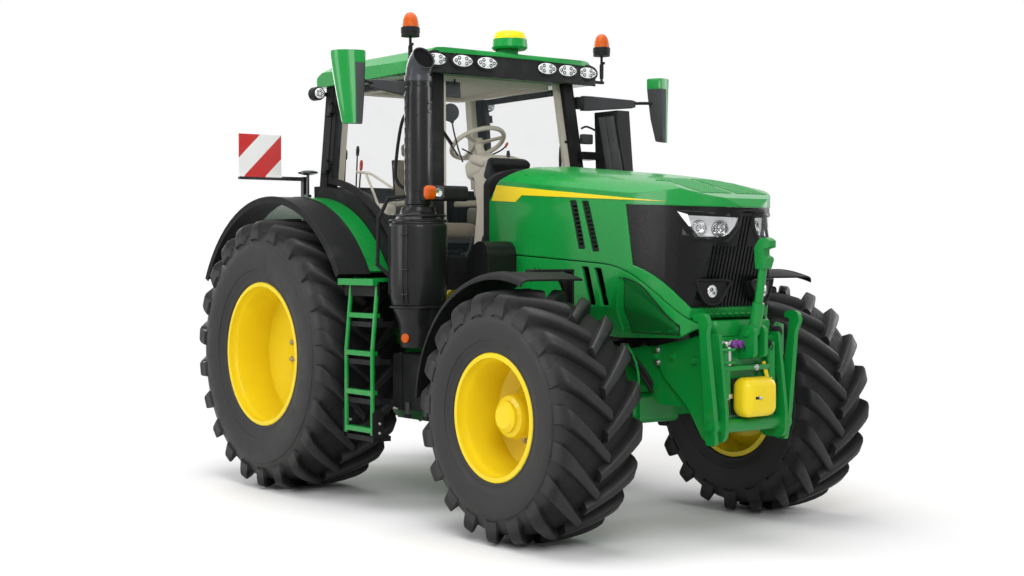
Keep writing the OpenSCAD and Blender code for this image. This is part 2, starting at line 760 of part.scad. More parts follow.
module hitch_frame() {
    cheek = rounded([[support_front - 340, 1190, 40], [support_front + 170, 1290, 30],
        [support_front + 240, 1290, 20], [support_front + 300, 820, 60], [link_pivot.x + 70, link_pivot.y - 95, 60],
        [link_pivot.x - 120, link_pivot.y - 95, 60], [support_front - 20, 830, 120],
        [support_front - 240, 1010, 60]]);
    lug_top = rounded([[headstock_front, 1130, 0], [headstock_front + 130, 1150, 30],
        [headstock_front + 130, 1330, 40], [headstock_front + 40, 1345, 30], [headstock_front, 1270, 0]]);
    color(leaf_green) {
        both_sides() side_plate(cheek, engine_half_w, cheek_t);
        both_sides() for (p = cheek_bolts) bar_y(p.x, engine_half_w + cheek_t + 5, p.y, 20, 24);
        block([support_front, -engine_half_w, 1040], [headstock_front, engine_half_w, 1270]);
        block([headstock_front - 30, -engine_half_w, 770], [headstock_front, engine_half_w, 1040]);
        bar_y(link_pivot.x, 0, link_pivot.y, cross_tube_r, 2 * (front_arm_y - splay_room));
        bar_y(link_pivot.x, 0, link_pivot.y, front_pin_r, 2 * (front_arm_y + front_arm_t + 12));
        for (y = [-60, 30]) side_plate(lug_top, y, 30);
        bar_y(headstock_front + 70, 0, 1290, 20, 150);
        top_link();
        both_sides() lift_cylinder();
        translate([headstock_front, 0, guard_z]) rotate([0, 90, 0]) cylinder(h = 100, r = pto_r);
    }
}

// Bolts that hold the linkage cheeks to the support, on its frame rails and block
cheek_bolts = [[support_front - 300, 1130], [support_front - 150, 1140], [support_front + 40, 1120],
    [support_front + 110, 1200]];

// Front top link: clevis tube, threaded end and quick hook
module top_link() {
    rod([headstock_front + 70, 0, 1285], [headstock_front + 108, 0, 1475], 38);
    rod([headstock_front + 100, 0, 1440], [headstock_front + 145, 0, 1700], 26);
    translate([headstock_front + 150, 0, 1740])
        side_plate(rounded([[-45, -60, 10], [35, -60, 10], [60, 5, 16], [20, 25, 10], [20, 60, 12], [70, 70, 0],
            [70, 110, 0], [40, 128, 0], [-10, 128, 40], [-55, 70, 30]]), -28, 56);
}

// Lift cylinder standing between a cheek and the headstock plate
module lift_cylinder() {
    y = engine_half_w - 48;
    rod([headstock_front + 14, y, 1190], [headstock_front + 22, y, 900], 34);
    rod([headstock_front + 20, y, 930], [link_pivot.x + 2, y, link_pivot.y], 17);
    block([headstock_front - 10, y - 20, 1160], [headstock_front + 40, y + 20, 1230]);
}

// Lower linkage arms, folded up for the road and splayed towards their hooks
module front_arms() {
    arm = rounded([[-50, -110, 20], [30, -110, 20], [44, 60, 20], [36, 560, 20], [62, 630, 30], [44, 690, 44],
        [-64, 690, 34], [-64, 646, 10], [-14, 640, 20], [-20, 600, 10], [-40, 60, 20]]);
    color(leaf_green) both_sides() difference() {
        union() {
            translate([link_pivot.x, front_arm_y, link_pivot.y]) rotate([-arm_splay, 0, 0])
                side_plate(arm, 0, front_arm_t);
            bar_y(link_pivot.x, front_arm_y + front_arm_t / 2, link_pivot.y, 2 * front_pin_r, front_arm_t);
        }
        bar_y(link_pivot.x, front_arm_y, link_pivot.y, front_pin_r + pin_gap, 6 * front_arm_t);
    }
}

guard_w = 280;
guard_h = 240;
guard_l = 160;
guard_t = 8;

function guard_outline(t) = soft_rect(t - guard_w / 2, guard_z + t - guard_h / 2, guard_w / 2 - t,
    guard_z + guard_h / 2 - t, 60 - t);

function guard_side(t) = rounded([[headstock_front - 40, guard_z - guard_h / 2 - 10 + t, 0],
    [headstock_front + guard_l - 30 - t, guard_z - guard_h / 2 - 10 + t, 50],
    [headstock_front + guard_l - t, guard_z + 60, 60], [headstock_front + guard_l - 50 - t, guard_z + 150 - t, 40],
    [headstock_front - 40, guard_z + 150 - t, 0]]);

// Closed cap over the front power take-off
module pto_guard() {
    color(sun_yellow) difference() {
        intersection() {
            front_plate(guard_outline(0), headstock_front + seam, guard_l);
            side_plate(guard_side(0), -guard_w, 2 * guard_w);
        }
        intersection() {
            front_plate(guard_outline(guard_t), headstock_front - 10, guard_l);
            side_plate(guard_side(guard_t), -guard_w, 2 * guard_w);
        }
    }
}

// Exhaust and intake

canister = [bay(0.5864), -985];
canister_r = 0.18 * bay_l;
pipe_r = 84;
pipe_low = 2085;
pipe_top = roof_z - 75;
bend_r = 130;
bend_turn = 62;
shield_t = 10;

module exhaust() {
    color(satin_black) {
        translate([canister.x, canister.y, 0]) {
            rotate_extrude() polygon([[0, 1140], [118, 1140], [128, 1200], [130, 1290], [canister_r - 24, 1400],
                [canister_r - 6, 1480], [canister_r, 1560], [canister_r, 1950], [canister_r - 6, 1972],
                [canister_r - 22, 1990], [pipe_r + 40, 2045], [pipe_r + 30, pipe_low], [0, pipe_low]]);
            translate([0, 0, pipe_low]) cylinder(h = pipe_top - pipe_low, r = pipe_r);
            for (z = [pipe_low + 20, pipe_top - 40]) translate([0, 0, z]) cylinder(h = 34, r = pipe_r + 9);
            exhaust_bend();
            heat_shield();
            canister_seam();
        }
        block([canister.x - 60, canister.y + 80, 1150], [canister.x + 60, -trans_half_w, 1200]);
    }
}

// Outlet bend leaning forward, open at its end
module exhaust_bend() {
    reach = 600;
    sweep = [[0, 0], [-reach, 0], [-reach, reach], [-reach * cos(bend_turn), reach * sin(bend_turn)]];
    difference() {
        intersection() {
            translate([bend_r, 0, pipe_top]) rotate([90, 0, 0])
                rotate_extrude() translate([bend_r, 0]) circle(r = pipe_r);
            translate([bend_r, 0, pipe_top]) side_plate(sweep, -200, 400);
        }
        translate([bend_r - bend_r * cos(bend_turn), 0, pipe_top + bend_r * sin(bend_turn)])
            rotate([0, bend_turn, 0]) translate([0, 0, -40]) cylinder(h = 80, r = pipe_r - 6);
    }
}

// Slotted shield round the outer half of the pipe
module heat_shield() {
    low = pipe_low + 110;
    high = pipe_top - 120;
    difference() {
        translate([0, 0, low]) cylinder(h = high - low, r = pipe_r + shield_t);
        translate([0, 0, low - 1]) cylinder(h = high - low + 2, r = pipe_r - 1);
        block([-300, 10, low - 1], [300, 300, high + 1]);
        for (z = [low + 40:70:high - 60]) block([-30, -300, z], [30, -pipe_r - 2, z + 34]);
    }
}

// Raised double seam down the canister's outer side
module canister_seam() {
    for (a = [-118, -112]) rotate([0, 0, a])
        block([canister_r - 12, -4, 1500], [canister_r + 6, 4, 1960]);
}

tank_top = 1330;
duct_y = 780;

// Left intake stack and the rounded scoop beside the bonnet's right rear corner
module intake_duct() {
    low = rect(bay(0.436), duct_y, bay(0.736), duct_y + 140);
    high = rect(bay(0.382), duct_y, bay(0.618), duct_y + 120);
    top = roof_z - 210;
    color(satin_black) {
        difference() {
            tapered_post(low, tank_top, high, top);
            for (share = [0.48, 0.56])
                block([bay(share), duct_y + 104, tank_top + 260], [bay(share) + 9, duct_y + 200, top - 60]);
        }
        difference() {
            block([bay(0.309), duct_y - 140, cab_z(0.607)], [bay(0.418), duct_y + 10, cab_z(0.648)]);
            cab_pillars();
        }
        intersection() {
            side_plate(concat([[bonnet_rear + 60, floor_z], [bonnet_rear + 310, floor_z]],
                curve([bonnet_rear + 310, 1760], [bonnet_rear + 300, 1890], [bonnet_rear + 130, 1910],
                    [bonnet_rear + 60, 1700])), -680, 680 - bonnet_half_w - seam);
            translate([0, 0, floor_z]) linear_extrude(400) polygon(rounded([[bonnet_rear, -760, 0],
                [bonnet_rear + 330, -760, 120], [bonnet_rear + 330, -bonnet_half_w, 0],
                [bonnet_rear, -bonnet_half_w, 0]]));
        }
    }
}

// Tanks and steps

module tanks() {
    color(satin_black) {
        side_plate(rounded([[bay(0.255), 700, 40], [bay(0.709), 700, 60], [bay(0.709), 1080, 30],
            [bay(0.255), 1080, 30]]), -950, 950 - trans_half_w);
        side_plate(rounded([[bay(0.055), 620, 60], [bay(0.755), 620, 60], [bay(0.755), tank_top, 20],
            [bay(0.055), tank_top, 60]]), trans_half_w, 740);
        for (share = [0.33, 0.6]) block([bay(share), -958, 690], [bay(share) + 40, -trans_half_w, 1088]);
    }
}

step_front = bay(0.3955);
step_rear = bay(0.0364);
rail_r = 15;
ladder_top_y = 1155;
ladder_y = 1200;
ladder_joint = 1110;
ladder_low = 545;
rung_zs = [ladder_low, 800, 1070, 1330];

function ladder_at(z) = z < ladder_joint ? ladder_y
    : ladder_y + (ladder_top_y - ladder_y) * (z - ladder_joint) / (floor_z - ladder_joint);

// Platform and folding ladder: two tube rails with flat rungs
module access_steps() {
    rails = [step_rear + 30, step_front - 30];
    color(leaf_green) both_sides() {
        side_plate(soft_rect(step_rear - 60, floor_z - 45, step_front, floor_z, 8), -1215, 40);
        block([step_rear - 60, -1190, floor_z - 20], [step_front, -side_y(1300, floor_z) - seam, floor_z]);
        for (x = rails) {
            rod([x, -ladder_top_y, floor_z - 10], [x, -ladder_y, ladder_joint], rail_r);
            rod([x, -ladder_y, ladder_joint + 20], [x, -ladder_y, ladder_low - 15], rail_r);
        }
        for (z = rung_zs)
            block([rails[0], -ladder_at(z) - 12, z], [rails[1], 40 - ladder_at(z), z + 34]);
    }
}

tread_drop = 62;
tread_depth = 150;
handrail_r = 13;

// Black treads under the rungs, the platform's skirt and the handrails
module step_treads() {
    rails = [step_rear + 30, step_front - 30];
    color(satin_black) {
        both_sides() difference() {
            union() {
                for (z = rung_zs) {
                    block([rails[0], -ladder_at(z) + 6, z - tread_drop],
                        [rails[1], tread_depth - ladder_at(z), z - 26]);
                    for (x = rails)
                        block([x - 6, -ladder_at(z) + 2, z - tread_drop], [x + 6, 60 - ladder_at(z), z + 4]);
                }
                block([step_rear - 40, -1170, floor_z - 120], [step_front - 10, -1150, floor_z - 20 - seam]);
            }
            access_steps();
        }
        difference() {
            tube([[canister.x - 35, -1020, 2165], [canister.x - 145, -1130, 2150],
                [canister.x - 175, -1190, 2010], [canister.x - 175, -1200, 1700],
                [canister.x - 105, -1120, 1600]], handrail_r);
            translate([canister.x, canister.y, 1560]) cylinder(h = 390, r = canister_r + seam);
            translate([canister.x, canister.y, 2000]) cylinder(h = 300, r = pipe_r + seam);
        }
        difference() {
            tube([[bay(0.5273), 880, 2165], [bay(0.4545), 1130, 2150], [bay(0.4273), 1190, 2010],
                [bay(0.4273), 1200, 1700], [bay(0.4909), 880, 1600]], handrail_r);
            intake_duct();
        }
    }
}

// Cab

sill_r = 1270;
tub_y = 590;
a_low = [1512, 755];
a_high = [1347, 642];
c_x = 80;
post_w = 95;
post_l = 75;
side_toe = 3.525;
side_lean = atan((a_low.y - a_high.y + tan(side_toe) * (a_low.x - a_high.x)) / cab_h);

// Outside of the cab's side wall at a place along it and a height
function side_y(x, z) = a_high.y + tan(side_toe) * (a_high.x - x) - tan(side_lean) * (z - roof_z);
function a_x(z) = a_low.x + (a_high.x - a_low.x) * (z - floor_z) / cab_h;

cowl_front = bonnet_rear - 12;

module cab_base() {
    wall = concat([[c_x - 50, floor_z - 80], [c_x - 50, rear_r + sill_r - 10]],
        arc_points(rear_axle, sill_r - 10, 90, 32), [[1090, floor_z - 80]]);
    color(satin_black) {
        block([c_x - 50, -tub_y, floor_z - 80], [a_low.x - 2, tub_y, floor_z]);
        both_sides() {
            side_plate(wall, tub_y - 20, 20);
            block([1120, tub_y - 20, floor_z - 80], [a_low.x - 2, side_y(1300, floor_z), floor_z]);
            side_plate(arc_band(rear_axle, sill_r, fender_r + 0.5, 92, 30), tub_y - 20, 810 - tub_y);
            difference() {
                for (x = [70, 1250]) block([x, 150, rear_r + 190], [x + 110, 250, floor_z - 70]);
                transmission();
            }
        }
        block([c_x - 50, -tub_y, floor_z - 80], [c_x - 10, tub_y, rear_r + sill_r]);
        block([a_low.x - 60, 112 - a_low.y, floor_z - 1], [a_low.x - 20, a_low.y - 112, floor_z + 150]);
        block([a_low.x - 30, -300, floor_z - 80], [cowl_front - 60, 300, floor_z]);
        front_plate(mirrored(concat([[0, floor_z - 80], [300, floor_z - 80], [bonnet_half_w - 12, floor_z + 60]],
            curve([bonnet_half_w - 12, crease_z], [bonnet_half_w - 30, crease_z + 80], [260, crease_z + 126],
                [0, crease_z + 132])), false), cowl_front - 70, 70);
    }
}

// Corner posts with the door hinges' fixed halves
module cab_pillars() {
    c_low = rear_r + sill_r - 90;
    color(satin_black) both_sides() {
        tapered_post(rect(a_x(floor_z) - post_l, a_low.y - post_w, a_x(floor_z), a_low.y), floor_z,
            rect(a_x(roof_z) - post_l, a_high.y - post_w, a_x(roof_z), a_high.y), roof_z);
        difference() {
            tapered_post(rect(c_x - 50, side_y(c_x, c_low) - 100, c_x + 50, side_y(c_x, c_low)), c_low,
                rect(c_x - 50, side_y(c_x, roof_z) - 100, c_x + 50, side_y(c_x, roof_z)), roof_z);
            bar_y(0, 600, rear_r, sill_r + seam, 900);
        }
        door_plane(1) for (z = hinge_zs) {
            for (e = [-1, 1]) translate([0, 0, z + e * (hinge_l / 2 + 13)]) {
                translate([hinge_u, hinge_w, 0]) cylinder(h = 20, r = hinge_r, center = true);
                block([10, -20, -10], [hinge_u, hinge_w + 8, 10]);
            }
            translate([hinge_u, hinge_w, z]) cylinder(h = hinge_l + 40, r = hinge_pin_r, center = true);
        }
    }
}

// Beige covers on the posts' inner faces and the headliner
module cab_lining() {
    low = rear_r + sill_r + 10;
    top = roof_z - seam;
    color(trim_beige) {
        both_sides() {
            tapered_post(
                rect(a_x(floor_z + 160) - post_l, a_low.y - 160, a_x(floor_z + 160) - 42, a_low.y - 108),
                floor_z + 160,
                rect(a_x(top) - post_l, a_high.y - 140, a_x(top) - 42, a_high.y - post_w - seam), top);
            tapered_post(
                rect(c_x - 20, side_y(c_x, low) - 150, c_x + 56, side_y(c_x, low) - 100 - seam), low,
                rect(c_x - 20, side_y(c_x, top) - 150, c_x + 56, side_y(c_x, top) - 100 - seam), top);
        }
        difference() {
            translate([0, 0, roof_z - 46]) linear_extrude(46 - seam)
                polygon(soft_rect(c_x - 10, -510, a_high.x - 90, 510, 60));
            translate([0, 0, roof_z - 60]) linear_extrude(44)
                polygon(soft_rect(c_x + 120, -430, a_high.x - 220, 430, 60));
        }
    }
}

// Door hinges, placed in the door's plane
hinge_u = 62;
hinge_w = 20;
hinge_l = 60;
hinge_r = 16;
hinge_pin_r = 8;

roof_front = 1430;
brow = 78;
visor_h = 130;

// Front edge of the roof and visor seen from above
function roof_bow(reach) = curve([roof_front + 0.3, -800], [roof_front + reach, -560], [roof_front + reach, 560],
    [roof_front + 0.3, 800], 12);

module cab_roof() {
    crown = roof_z + 212;
    color(leaf_green) intersection() {
        side_plate(rounded([[-40, roof_z, 0], [roof_front, roof_z, 0], [roof_front, roof_z + visor_h + seam, 0],
            [roof_front + brow, roof_z + visor_h + seam, 8], [roof_front + brow - 12, roof_z + 166, 16],
            [1250, crown - 14, 120], [200, crown - 32, 120], [-60, roof_z + 70, 30]]), -810, 1620);
        translate([0, 0, roof_z - 10]) linear_extrude(400) polygon(concat(
            rounded([[roof_front - 200, 800, 0], [-100, 760, 60], [-100, -760, 60], [roof_front - 200, -800, 0]]),
            roof_bow(104)));
        front_plate(rounded([[-800, roof_z, 0], [800, roof_z, 0], [800, roof_z + 80, 30], [700, roof_z + 165, 60],
            [0, crown, 2000], [-700, roof_z + 165, 60], [-800, roof_z + 80, 30]]), -200, 2000);
    }
}

module roof_visor() {
    color(satin_black) difference() {
        translate([0, 0, roof_z - 10]) linear_extrude(visor_h + 10) polygon(roof_bow(90));
        roof_lamp_places() translate([0, 0, -0.4]) linear_extrude(100) polygon(lamp_oval(0.4));
    }
}

roof_lamp_ys = [275, 480, 690];
roof_lamp_z = roof_z + 62;

function lamp_oval(t) = soft_rect(-40 - t, -62 - t, 40 + t, 62 + t, 38);

// Oval work lamps let into the visor, each facing forward
module roof_lamp_places() {
    both_sides() for (y = roof_lamp_ys)
        translate([roof_front + 45 - 38 * pow(y / 690, 2), y, roof_lamp_z]) rotate([0, 90, 0]) children();
}

corner_lamp = [30, 812, roof_z - 52];
corner_lamp_r = 52;
lamp_cup = 70;

// Roof work lamps and the round lamps at the cab's rear corners
module lamps() {
    color(lamp_white) {
        roof_lamp_places() linear_extrude(24) polygon(lamp_oval(0));
        both_sides() translate(corner_lamp + [lamp_cup / 2 - 14, 0, 0]) rotate([0, 90, 0])
            cylinder(h = 24, r = corner_lamp_r - 8);
    }
}

turn_lamp_z = 2180;
flare_r = fender_r - 2;
flare_arc = [31, 152];
flare_step = (flare_arc[1] - flare_arc[0]) / 24;
tail_arc = flare_arc[0] + 21.5 * flare_step;

// Black housings: turn lamps, rear corner lamps, beacon stalks and tail lamps
module lamp_brackets() {
    tail = rear_axle + flare_r * cos(flare_step / 2) * [cos(tail_arc), sin(tail_arc)];
    color(satin_black) {
        difference() {
            both_sides()
                side_plate(soft_rect(bay(0.6655), turn_lamp_z - 52, bay(0.755), turn_lamp_z + 52, 30), -1030, 330);
            exhaust();
            intake_duct();
        }
        both_sides() {
            difference() {
                union() {
                    translate(corner_lamp) rotate([0, 90, 0])
                        cylinder(h = lamp_cup, r = corner_lamp_r, center = true);
                    block([corner_lamp.x - 25, 690, corner_lamp.z - 14],
                        [corner_lamp.x + 10, corner_lamp.y, corner_lamp.z + 14]);
                }
                translate(corner_lamp + [lamp_cup / 2 - 14 - seam, 0, 0]) rotate([0, 90, 0])
                    cylinder(h = 100, r = corner_lamp_r - 8 + seam);
                cab_pillars();
            }
            difference() {
                block([beacon.x - 14, 780, roof_z + 15], [beacon.x + 14, beacon.y + 14, roof_z + 35]);
                cab_roof();
            }
            translate([beacon.x, beacon.y, roof_z + 20]) cylinder(h = 206, r = 10);
            translate([beacon.x, beacon.y, beacon_z - 30]) cylinder(h = 30, r = 64);
            translate([tail.x, 0, tail.y]) rotate([0, 90 - tail_arc, 0])
                side_plate(soft_rect(-70, seam, 70, 74, 20), green_fender_out + 16, 190);
        }
    }
}

module windscreen() {
    y_low = a_low.y - post_w - 12.5;
    y_high = a_high.y - post_w - 0.5;
    low = floor_z + 150.5;
    color(clear_glass)
        tapered_post(rect(a_x(low) - 40, -y_low, a_x(low) - 40 + glass_t, y_low), low,
            rect(a_x(roof_z) - 40, -y_high, a_x(roof_z) - 40 + glass_t, y_high), roof_z - seam);
}

module rear_window() {
    low = rear_r + sill_r + 0.5;
    y_low = side_y(c_x, low) - 117;
    y_high = side_y(c_x, roof_z) - 100.5;
    color(clear_glass)
        tapered_post(rect(c_x - 30, -y_low, c_x - 30 + glass_t, y_low), low,
            rect(c_x - 30, -y_high, c_x - 30 + glass_t, y_high), roof_z - seam);
}

// Door plane: local X along the door, local Y outward, local Z up the side wall
module door_plane(side) {
    mirror([0, side < 0 ? 1 : 0, 0])
        translate([c_x, side_y(c_x, rear_r), rear_r]) rotate([side_lean, 0, -side_toe]) children();
}

door_rear = 58 + door_gap;
door_front_low = a_low.x - c_x - post_l - 9;
door_front_high = a_high.x - c_x - post_l - 9;
door_low = floor_z - rear_r + 20;
door_high = roof_z - rear_r - 12;
door_arc_r = sill_r + 32;
door_edge_low = sqrt(pow(door_arc_r, 2) - pow(door_rear + c_x, 2));
hinge_zs = [for (share = [0.174, 0.782]) door_edge_low + share * (door_high - door_edge_low)];

function door_outline(t) =
    concat([[door_rear + t, door_high - t], [door_front_high - t, door_high - t], [door_front_low - t, door_low + t]],
        arc_points([-c_x, 0], door_arc_r + t, asin((door_low + t) / (door_arc_r + t)),
            acos((door_rear + t + c_x) / (door_arc_r + t)), 12));

door_frame_w = 46;

module door_frame(side) {
    color(satin_black) door_plane(side) difference() {
        union() {
            difference() {
                side_plate(door_outline(0), -door_t, door_t);
                side_plate(door_outline(door_frame_w), -door_t - 5, door_t + 10);
            }
            for (z = hinge_zs) {
                translate([hinge_u, hinge_w, z]) cylinder(h = hinge_l, r = hinge_r, center = true);
                block([hinge_u + 6, -10, z - hinge_l / 2], [door_rear + 40, hinge_w + hinge_r, z + hinge_l / 2]);
            }
            block([door_front_low - 76, -6, door_low + 14], [door_front_low - 30, 26, door_low + 150]);
        }
        for (z = hinge_zs)
            translate([hinge_u, hinge_w, z]) cylinder(h = 2 * hinge_l, r = hinge_pin_r + pin_gap, center = true);
    }
}

module door_glass(side) {
    color(clear_glass) door_plane(side) translate([0, -door_t / 2, 0])
        side_plate(door_outline(door_frame_w + 0.4), 0, glass_t);
}

// Cab inside

module dashboard() {
    color(trim_beige) side_plate(rounded([[1130, floor_z, 0], [1430, floor_z, 0], [1368, cab_z(0.4828), 40],
        [1310, cab_z(0.5931), 40], [1120, cab_z(0.6207), 30], [1080, cab_z(0.5655), 30],
        [1230, cab_z(0.4552), 60]]), -150, 300);
}

wheel_c = [1010, 0, cab_z(0.6897)];
wheel_tilt = -30;
wheel_r = 205;

module steering_wheel() {
    color(trim_beige) translate(wheel_c) rotate([0, wheel_tilt, 0]) {
        rotate_extrude() translate([wheel_r, 0]) circle(r = 17);
        for (a = [60, 180, 300]) rotate([0, 0, a]) translate([20, -14, -10]) cube([wheel_r - 25, 28, 16]);
        cylinder(h = 40, r = 46, center = true);
    }
    color(satin_black) difference() {
        translate(wheel_c) rotate([0, wheel_tilt, 0]) translate([0, 0, -230]) cylinder(h = 220, r = 32);
        dashboard();
    }
}

seat_half_w = 260;

seat_low = floor_z + 280;
cushion_t = 130;
backrest_h = 780;

module seat() {
    color(trim_beige) {
        block([300, -180, floor_z], [650, 180, seat_low]);
        side_plate(rounded([[230, seat_low, 30], [760, seat_low, 30], [780, seat_low + cushion_t, 50],
            [330, seat_low + cushion_t - 10, 20], [280, seat_low + backrest_h - 20, 50],
            [150, seat_low + backrest_h, 40], [190, seat_low + cushion_t - 20, 20]]),
            -seat_half_w, 2 * seat_half_w);
    }
}

// Rear fenders

green_fender_out = 950;
fender_out = 1215;
fender_lip = 30;

module rear_fenders() {
    color(leaf_green) both_sides()
        side_plate(arc_band(rear_axle, fender_r, fender_r - fender_t, 32, 128), tub_y + seam,
            green_fender_out - tub_y);
}

// Black flare outside the green fender, with a turned-down edge
module fender_extensions() {
    color(satin_black) both_sides() {
        side_plate(arc_band(rear_axle, flare_r, flare_r - fender_t, flare_arc[0], flare_arc[1]),
            green_fender_out + 0.6, fender_out - green_fender_out);
        side_plate(arc_band(rear_axle, flare_r, flare_r - fender_t - fender_lip, flare_arc[0], flare_arc[1]),
            fender_out - 8, 8);
    }
}

// Mirrors, beacons, receiver and marker board

mirror_low_z = roof_z - 400;
mirror_high_z = roof_z + 100;
mirror_low = [1480, 1330, 1560, 1520];
mirror_high = [1400, 1290, 1500, 1530];
cover_t = 30;
bare_strip = 70;

// Mirror heads on their tapering arms
module mirrors() {
    color(satin_black) both_sides() {
        difference() {
            union() {
                rod([1320, 620, roof_z - 135], [1470, 1360, roof_z - 90], 22);
                side_plate(soft_rect(1300, roof_z - 175, 1400, roof_z - 95, 20), 610, 120);
            }
            cab_pillars();
        }
        tapered_post(rect(mirror_low[0], mirror_low[1], mirror_low[2], mirror_low[3]), mirror_low_z,
            rect(mirror_high[0], mirror_high[1], mirror_high[2], mirror_high[3]), mirror_high_z);
    }
}

// Green fronts of the mirror heads, leaving a black strip beside the arm below their brow
module mirror_covers() {
    low_x = mirror_low[2] + seam;
    high_x = mirror_high[2] + seam;
    color(leaf_green) both_sides() difference() {
        tapered_post(rect(low_x, mirror_low[1], low_x + cover_t, mirror_low[3]), mirror_low_z,
            rect(high_x, mirror_high[1], high_x + cover_t, mirror_high[3]), mirror_high_z);
        block([1300, 1200, mirror_low_z - 10], [1800, mirror_low[1] + bare_strip, mirror_high_z - 70]);
    }
}

beacon = [1412, 876];
beacon_z = roof_z + 256;

module beacons() {
    color(amber) both_sides() translate([beacon.x, beacon.y, beacon_z])
        rotate_extrude() polygon(concat([[0, 0], [60, 0]], curve([60, 20], [58, 90], [44, 138], [0, 139], 8)));
}

receiver_x = 1400;
receiver_r = 132;

module roof_receiver() {
    low = roof_z + 206;
    color(sun_yellow) {
        translate([receiver_x, 0, low]) rotate_extrude() polygon([[0, 0], [receiver_r - 12, 0], [receiver_r, 14],
            [receiver_r - 6, 74], [receiver_r - 16, 80], [receiver_r - 14, 88], [receiver_r - 24, 118],
            [receiver_r - 50, 132], [0, 138]]);
        difference() {
            block([receiver_x - 90, -60, roof_z + 130], [receiver_x + 25, 60, low + 4]);
            cab_roof();
        }
    }
}

board = [-150, -1200, 2520];
board_post = [-90, -850];
board_half = [180, 160];
post_half = 20;
board_arm_z = board.z - 170;
disc_r = 78;

// Marker board on its arm, with the round disc beside it
module marker_board() {
    disc = [board_post.x + 70, board_post.y - 10];
    color(board_red) {
        block(board - [4, board_half[0], board_half[1]], board + [4, board_half[0], board_half[1]]);
        block([board.x - 15, board.y - board_half[0], board_arm_z - 15],
            [board.x + 15, board_post.y + post_half, board_arm_z + 15]);
        block([board.x - 15, board_post.y - post_half, board_arm_z - 15],
            [board_post.x + post_half, board_post.y + post_half, board_arm_z + 15]);
        difference() {
            union() {
                block([board_post.x - post_half, board_post.y - post_half, 2150],
                    [board_post.x + post_half, board_post.y + post_half, board_arm_z + 15]);
                block([board_post.x - post_half, board_post.y - post_half, 2150],
                    [disc.x + 20, disc.y + 20, 2226]);
                translate([disc.x, disc.y, 2150]) cylinder(h = 230, r = 12);
            }
            side_plate(concat(arc_points(rear_axle, fender_r + seam, 32, 128), [rear_axle]),
                board_post.y - 200, 400);
        }
        translate([disc.x, disc.y, 2376]) rotate_extrude()
            polygon([[0, 0], [30, 0], [disc_r, 12], [disc_r, 24], [disc_r - 20, 34], [0, 38]]);
    }
}

// Rear linkage: the lower links, lift arms and lift rods stay a parallelogram

lift_pivot = [-190, 690];
rockshaft = [-190, 1330];
link_hole = 560;
link_y = 330;
link_t = 50;
lift_arm_t = 40;
lift_rod_t = 34;
lift_rod_y = link_y + link_t + 6;
link_pin_r = 18;
rockshaft_r = 35;
rod_pin_r = 14;
link_ball_r = 18.5;
rear_pto_z = 780;
drawbar_z = 480;

// Drawbar, rear power take-off with its shield, and the top link
module rear_hitch() {
    plate = trans_rear - 60;
    top = [plate - 20, 1130];
    color(leaf_green) difference() {
        union() {
            block([trans_rear - 330, -60, drawbar_z], [420, 60, drawbar_z + 50]);
            block([plate, -120, drawbar_z], [trans_rear, 120, 1180]);
            block([100, -120, drawbar_z], [420, 120, 600]);
            translate([trans_rear - 190, 0, rear_pto_z]) rotate([0, 90, 0]) cylinder(h = 150, r = pto_r);
            both_sides() {
                side_plate(rounded([[plate - 60, 1085, 30], [plate, 1060, 0], [plate, 1175, 0],
                    [plate - 60, 1165, 30]]),
                    34, 22);
                block([plate - 130, 112, rear_pto_z - 60], [plate, 120, rear_pto_z + 128]);
            }
            block([plate - 130, -120, rear_pto_z + 120], [plate, 120, rear_pto_z + 128]);
            bar_y(top.x - 10, 0, top.y, 14, 130);
            rod([top.x - 10, 0, top.y], [top.x - 250, 0, top.y + 40], 24);
            rod([top.x - 200, 0, top.y + 32], [top.x - 480, 0, top.y + 80], 34);
            bar_y(top.x - 510, 0, top.y + 84, 42, 52);
        }
        bar_y(top.x - 510, 0, top.y + 84, 13, 100);
        translate([trans_rear - 270, 0, 400]) cylinder(h = 300, r = drawbar_hole_r);
        transmission();
    }
}

module rear_lower_links() {
    color(leaf_green) both_sides() translate([lift_pivot.x, 0, lift_pivot.y]) difference() {
        union() {
            side_plate(rounded([[40, -40, 30], [40, 40, 30], [-lower_link_l, 46, 20], [-lower_link_l - 60, 40, 30],
                [-lower_link_l - 60, -40, 30], [-lower_link_l, -46, 20]]), link_y, link_t);
            bar_y(-link_hole, link_y + link_t / 2 + 40, 0, rod_pin_r, 80);
        }
        bar_y(0, link_y, 0, link_pin_r + pin_gap, 4 * link_t);
        bar_y(-lower_link_l - 10, link_y, 0, link_ball_r, 4 * link_t);
    }
}

module rear_lift_arms() {
    color(leaf_green) both_sides() translate([rockshaft.x, 0, rockshaft.y]) difference() {
        union() {
            side_plate(rounded([[60, -60, 50], [60, 60, 50], [-link_hole - 40, 35, 30],
                [-link_hole - 40, -35, 30]]),
                link_y, lift_arm_t);
            bar_y(-link_hole, link_y + lift_arm_t / 2 + 40, 0, rod_pin_r, 80);
        }
        bar_y(0, link_y, 0, rockshaft_r + pin_gap, 4 * lift_arm_t);
    }
}

module rear_lift_rods() {
    x = lift_pivot.x - link_hole;
    color(leaf_green) both_sides() difference() {
        side_plate(soft_rect(x - 32, lift_pivot.y - 40, x + 32, rockshaft.y + 40, 30), lift_rod_y, lift_rod_t);
        for (z = [lift_pivot.y, rockshaft.y])
            bar_y(x, lift_rod_y, z, rod_pin_r + pin_gap, 4 * lift_rod_t);
    }
}

module rear_tyre() {
    tyre(rear_tyre_d, rear_tyre_w, rear_rim_d, rear_lugs);
}

module front_tyre() {
    tyre(front_tyre_d, front_tyre_w, front_rim_d, front_lugs);
}

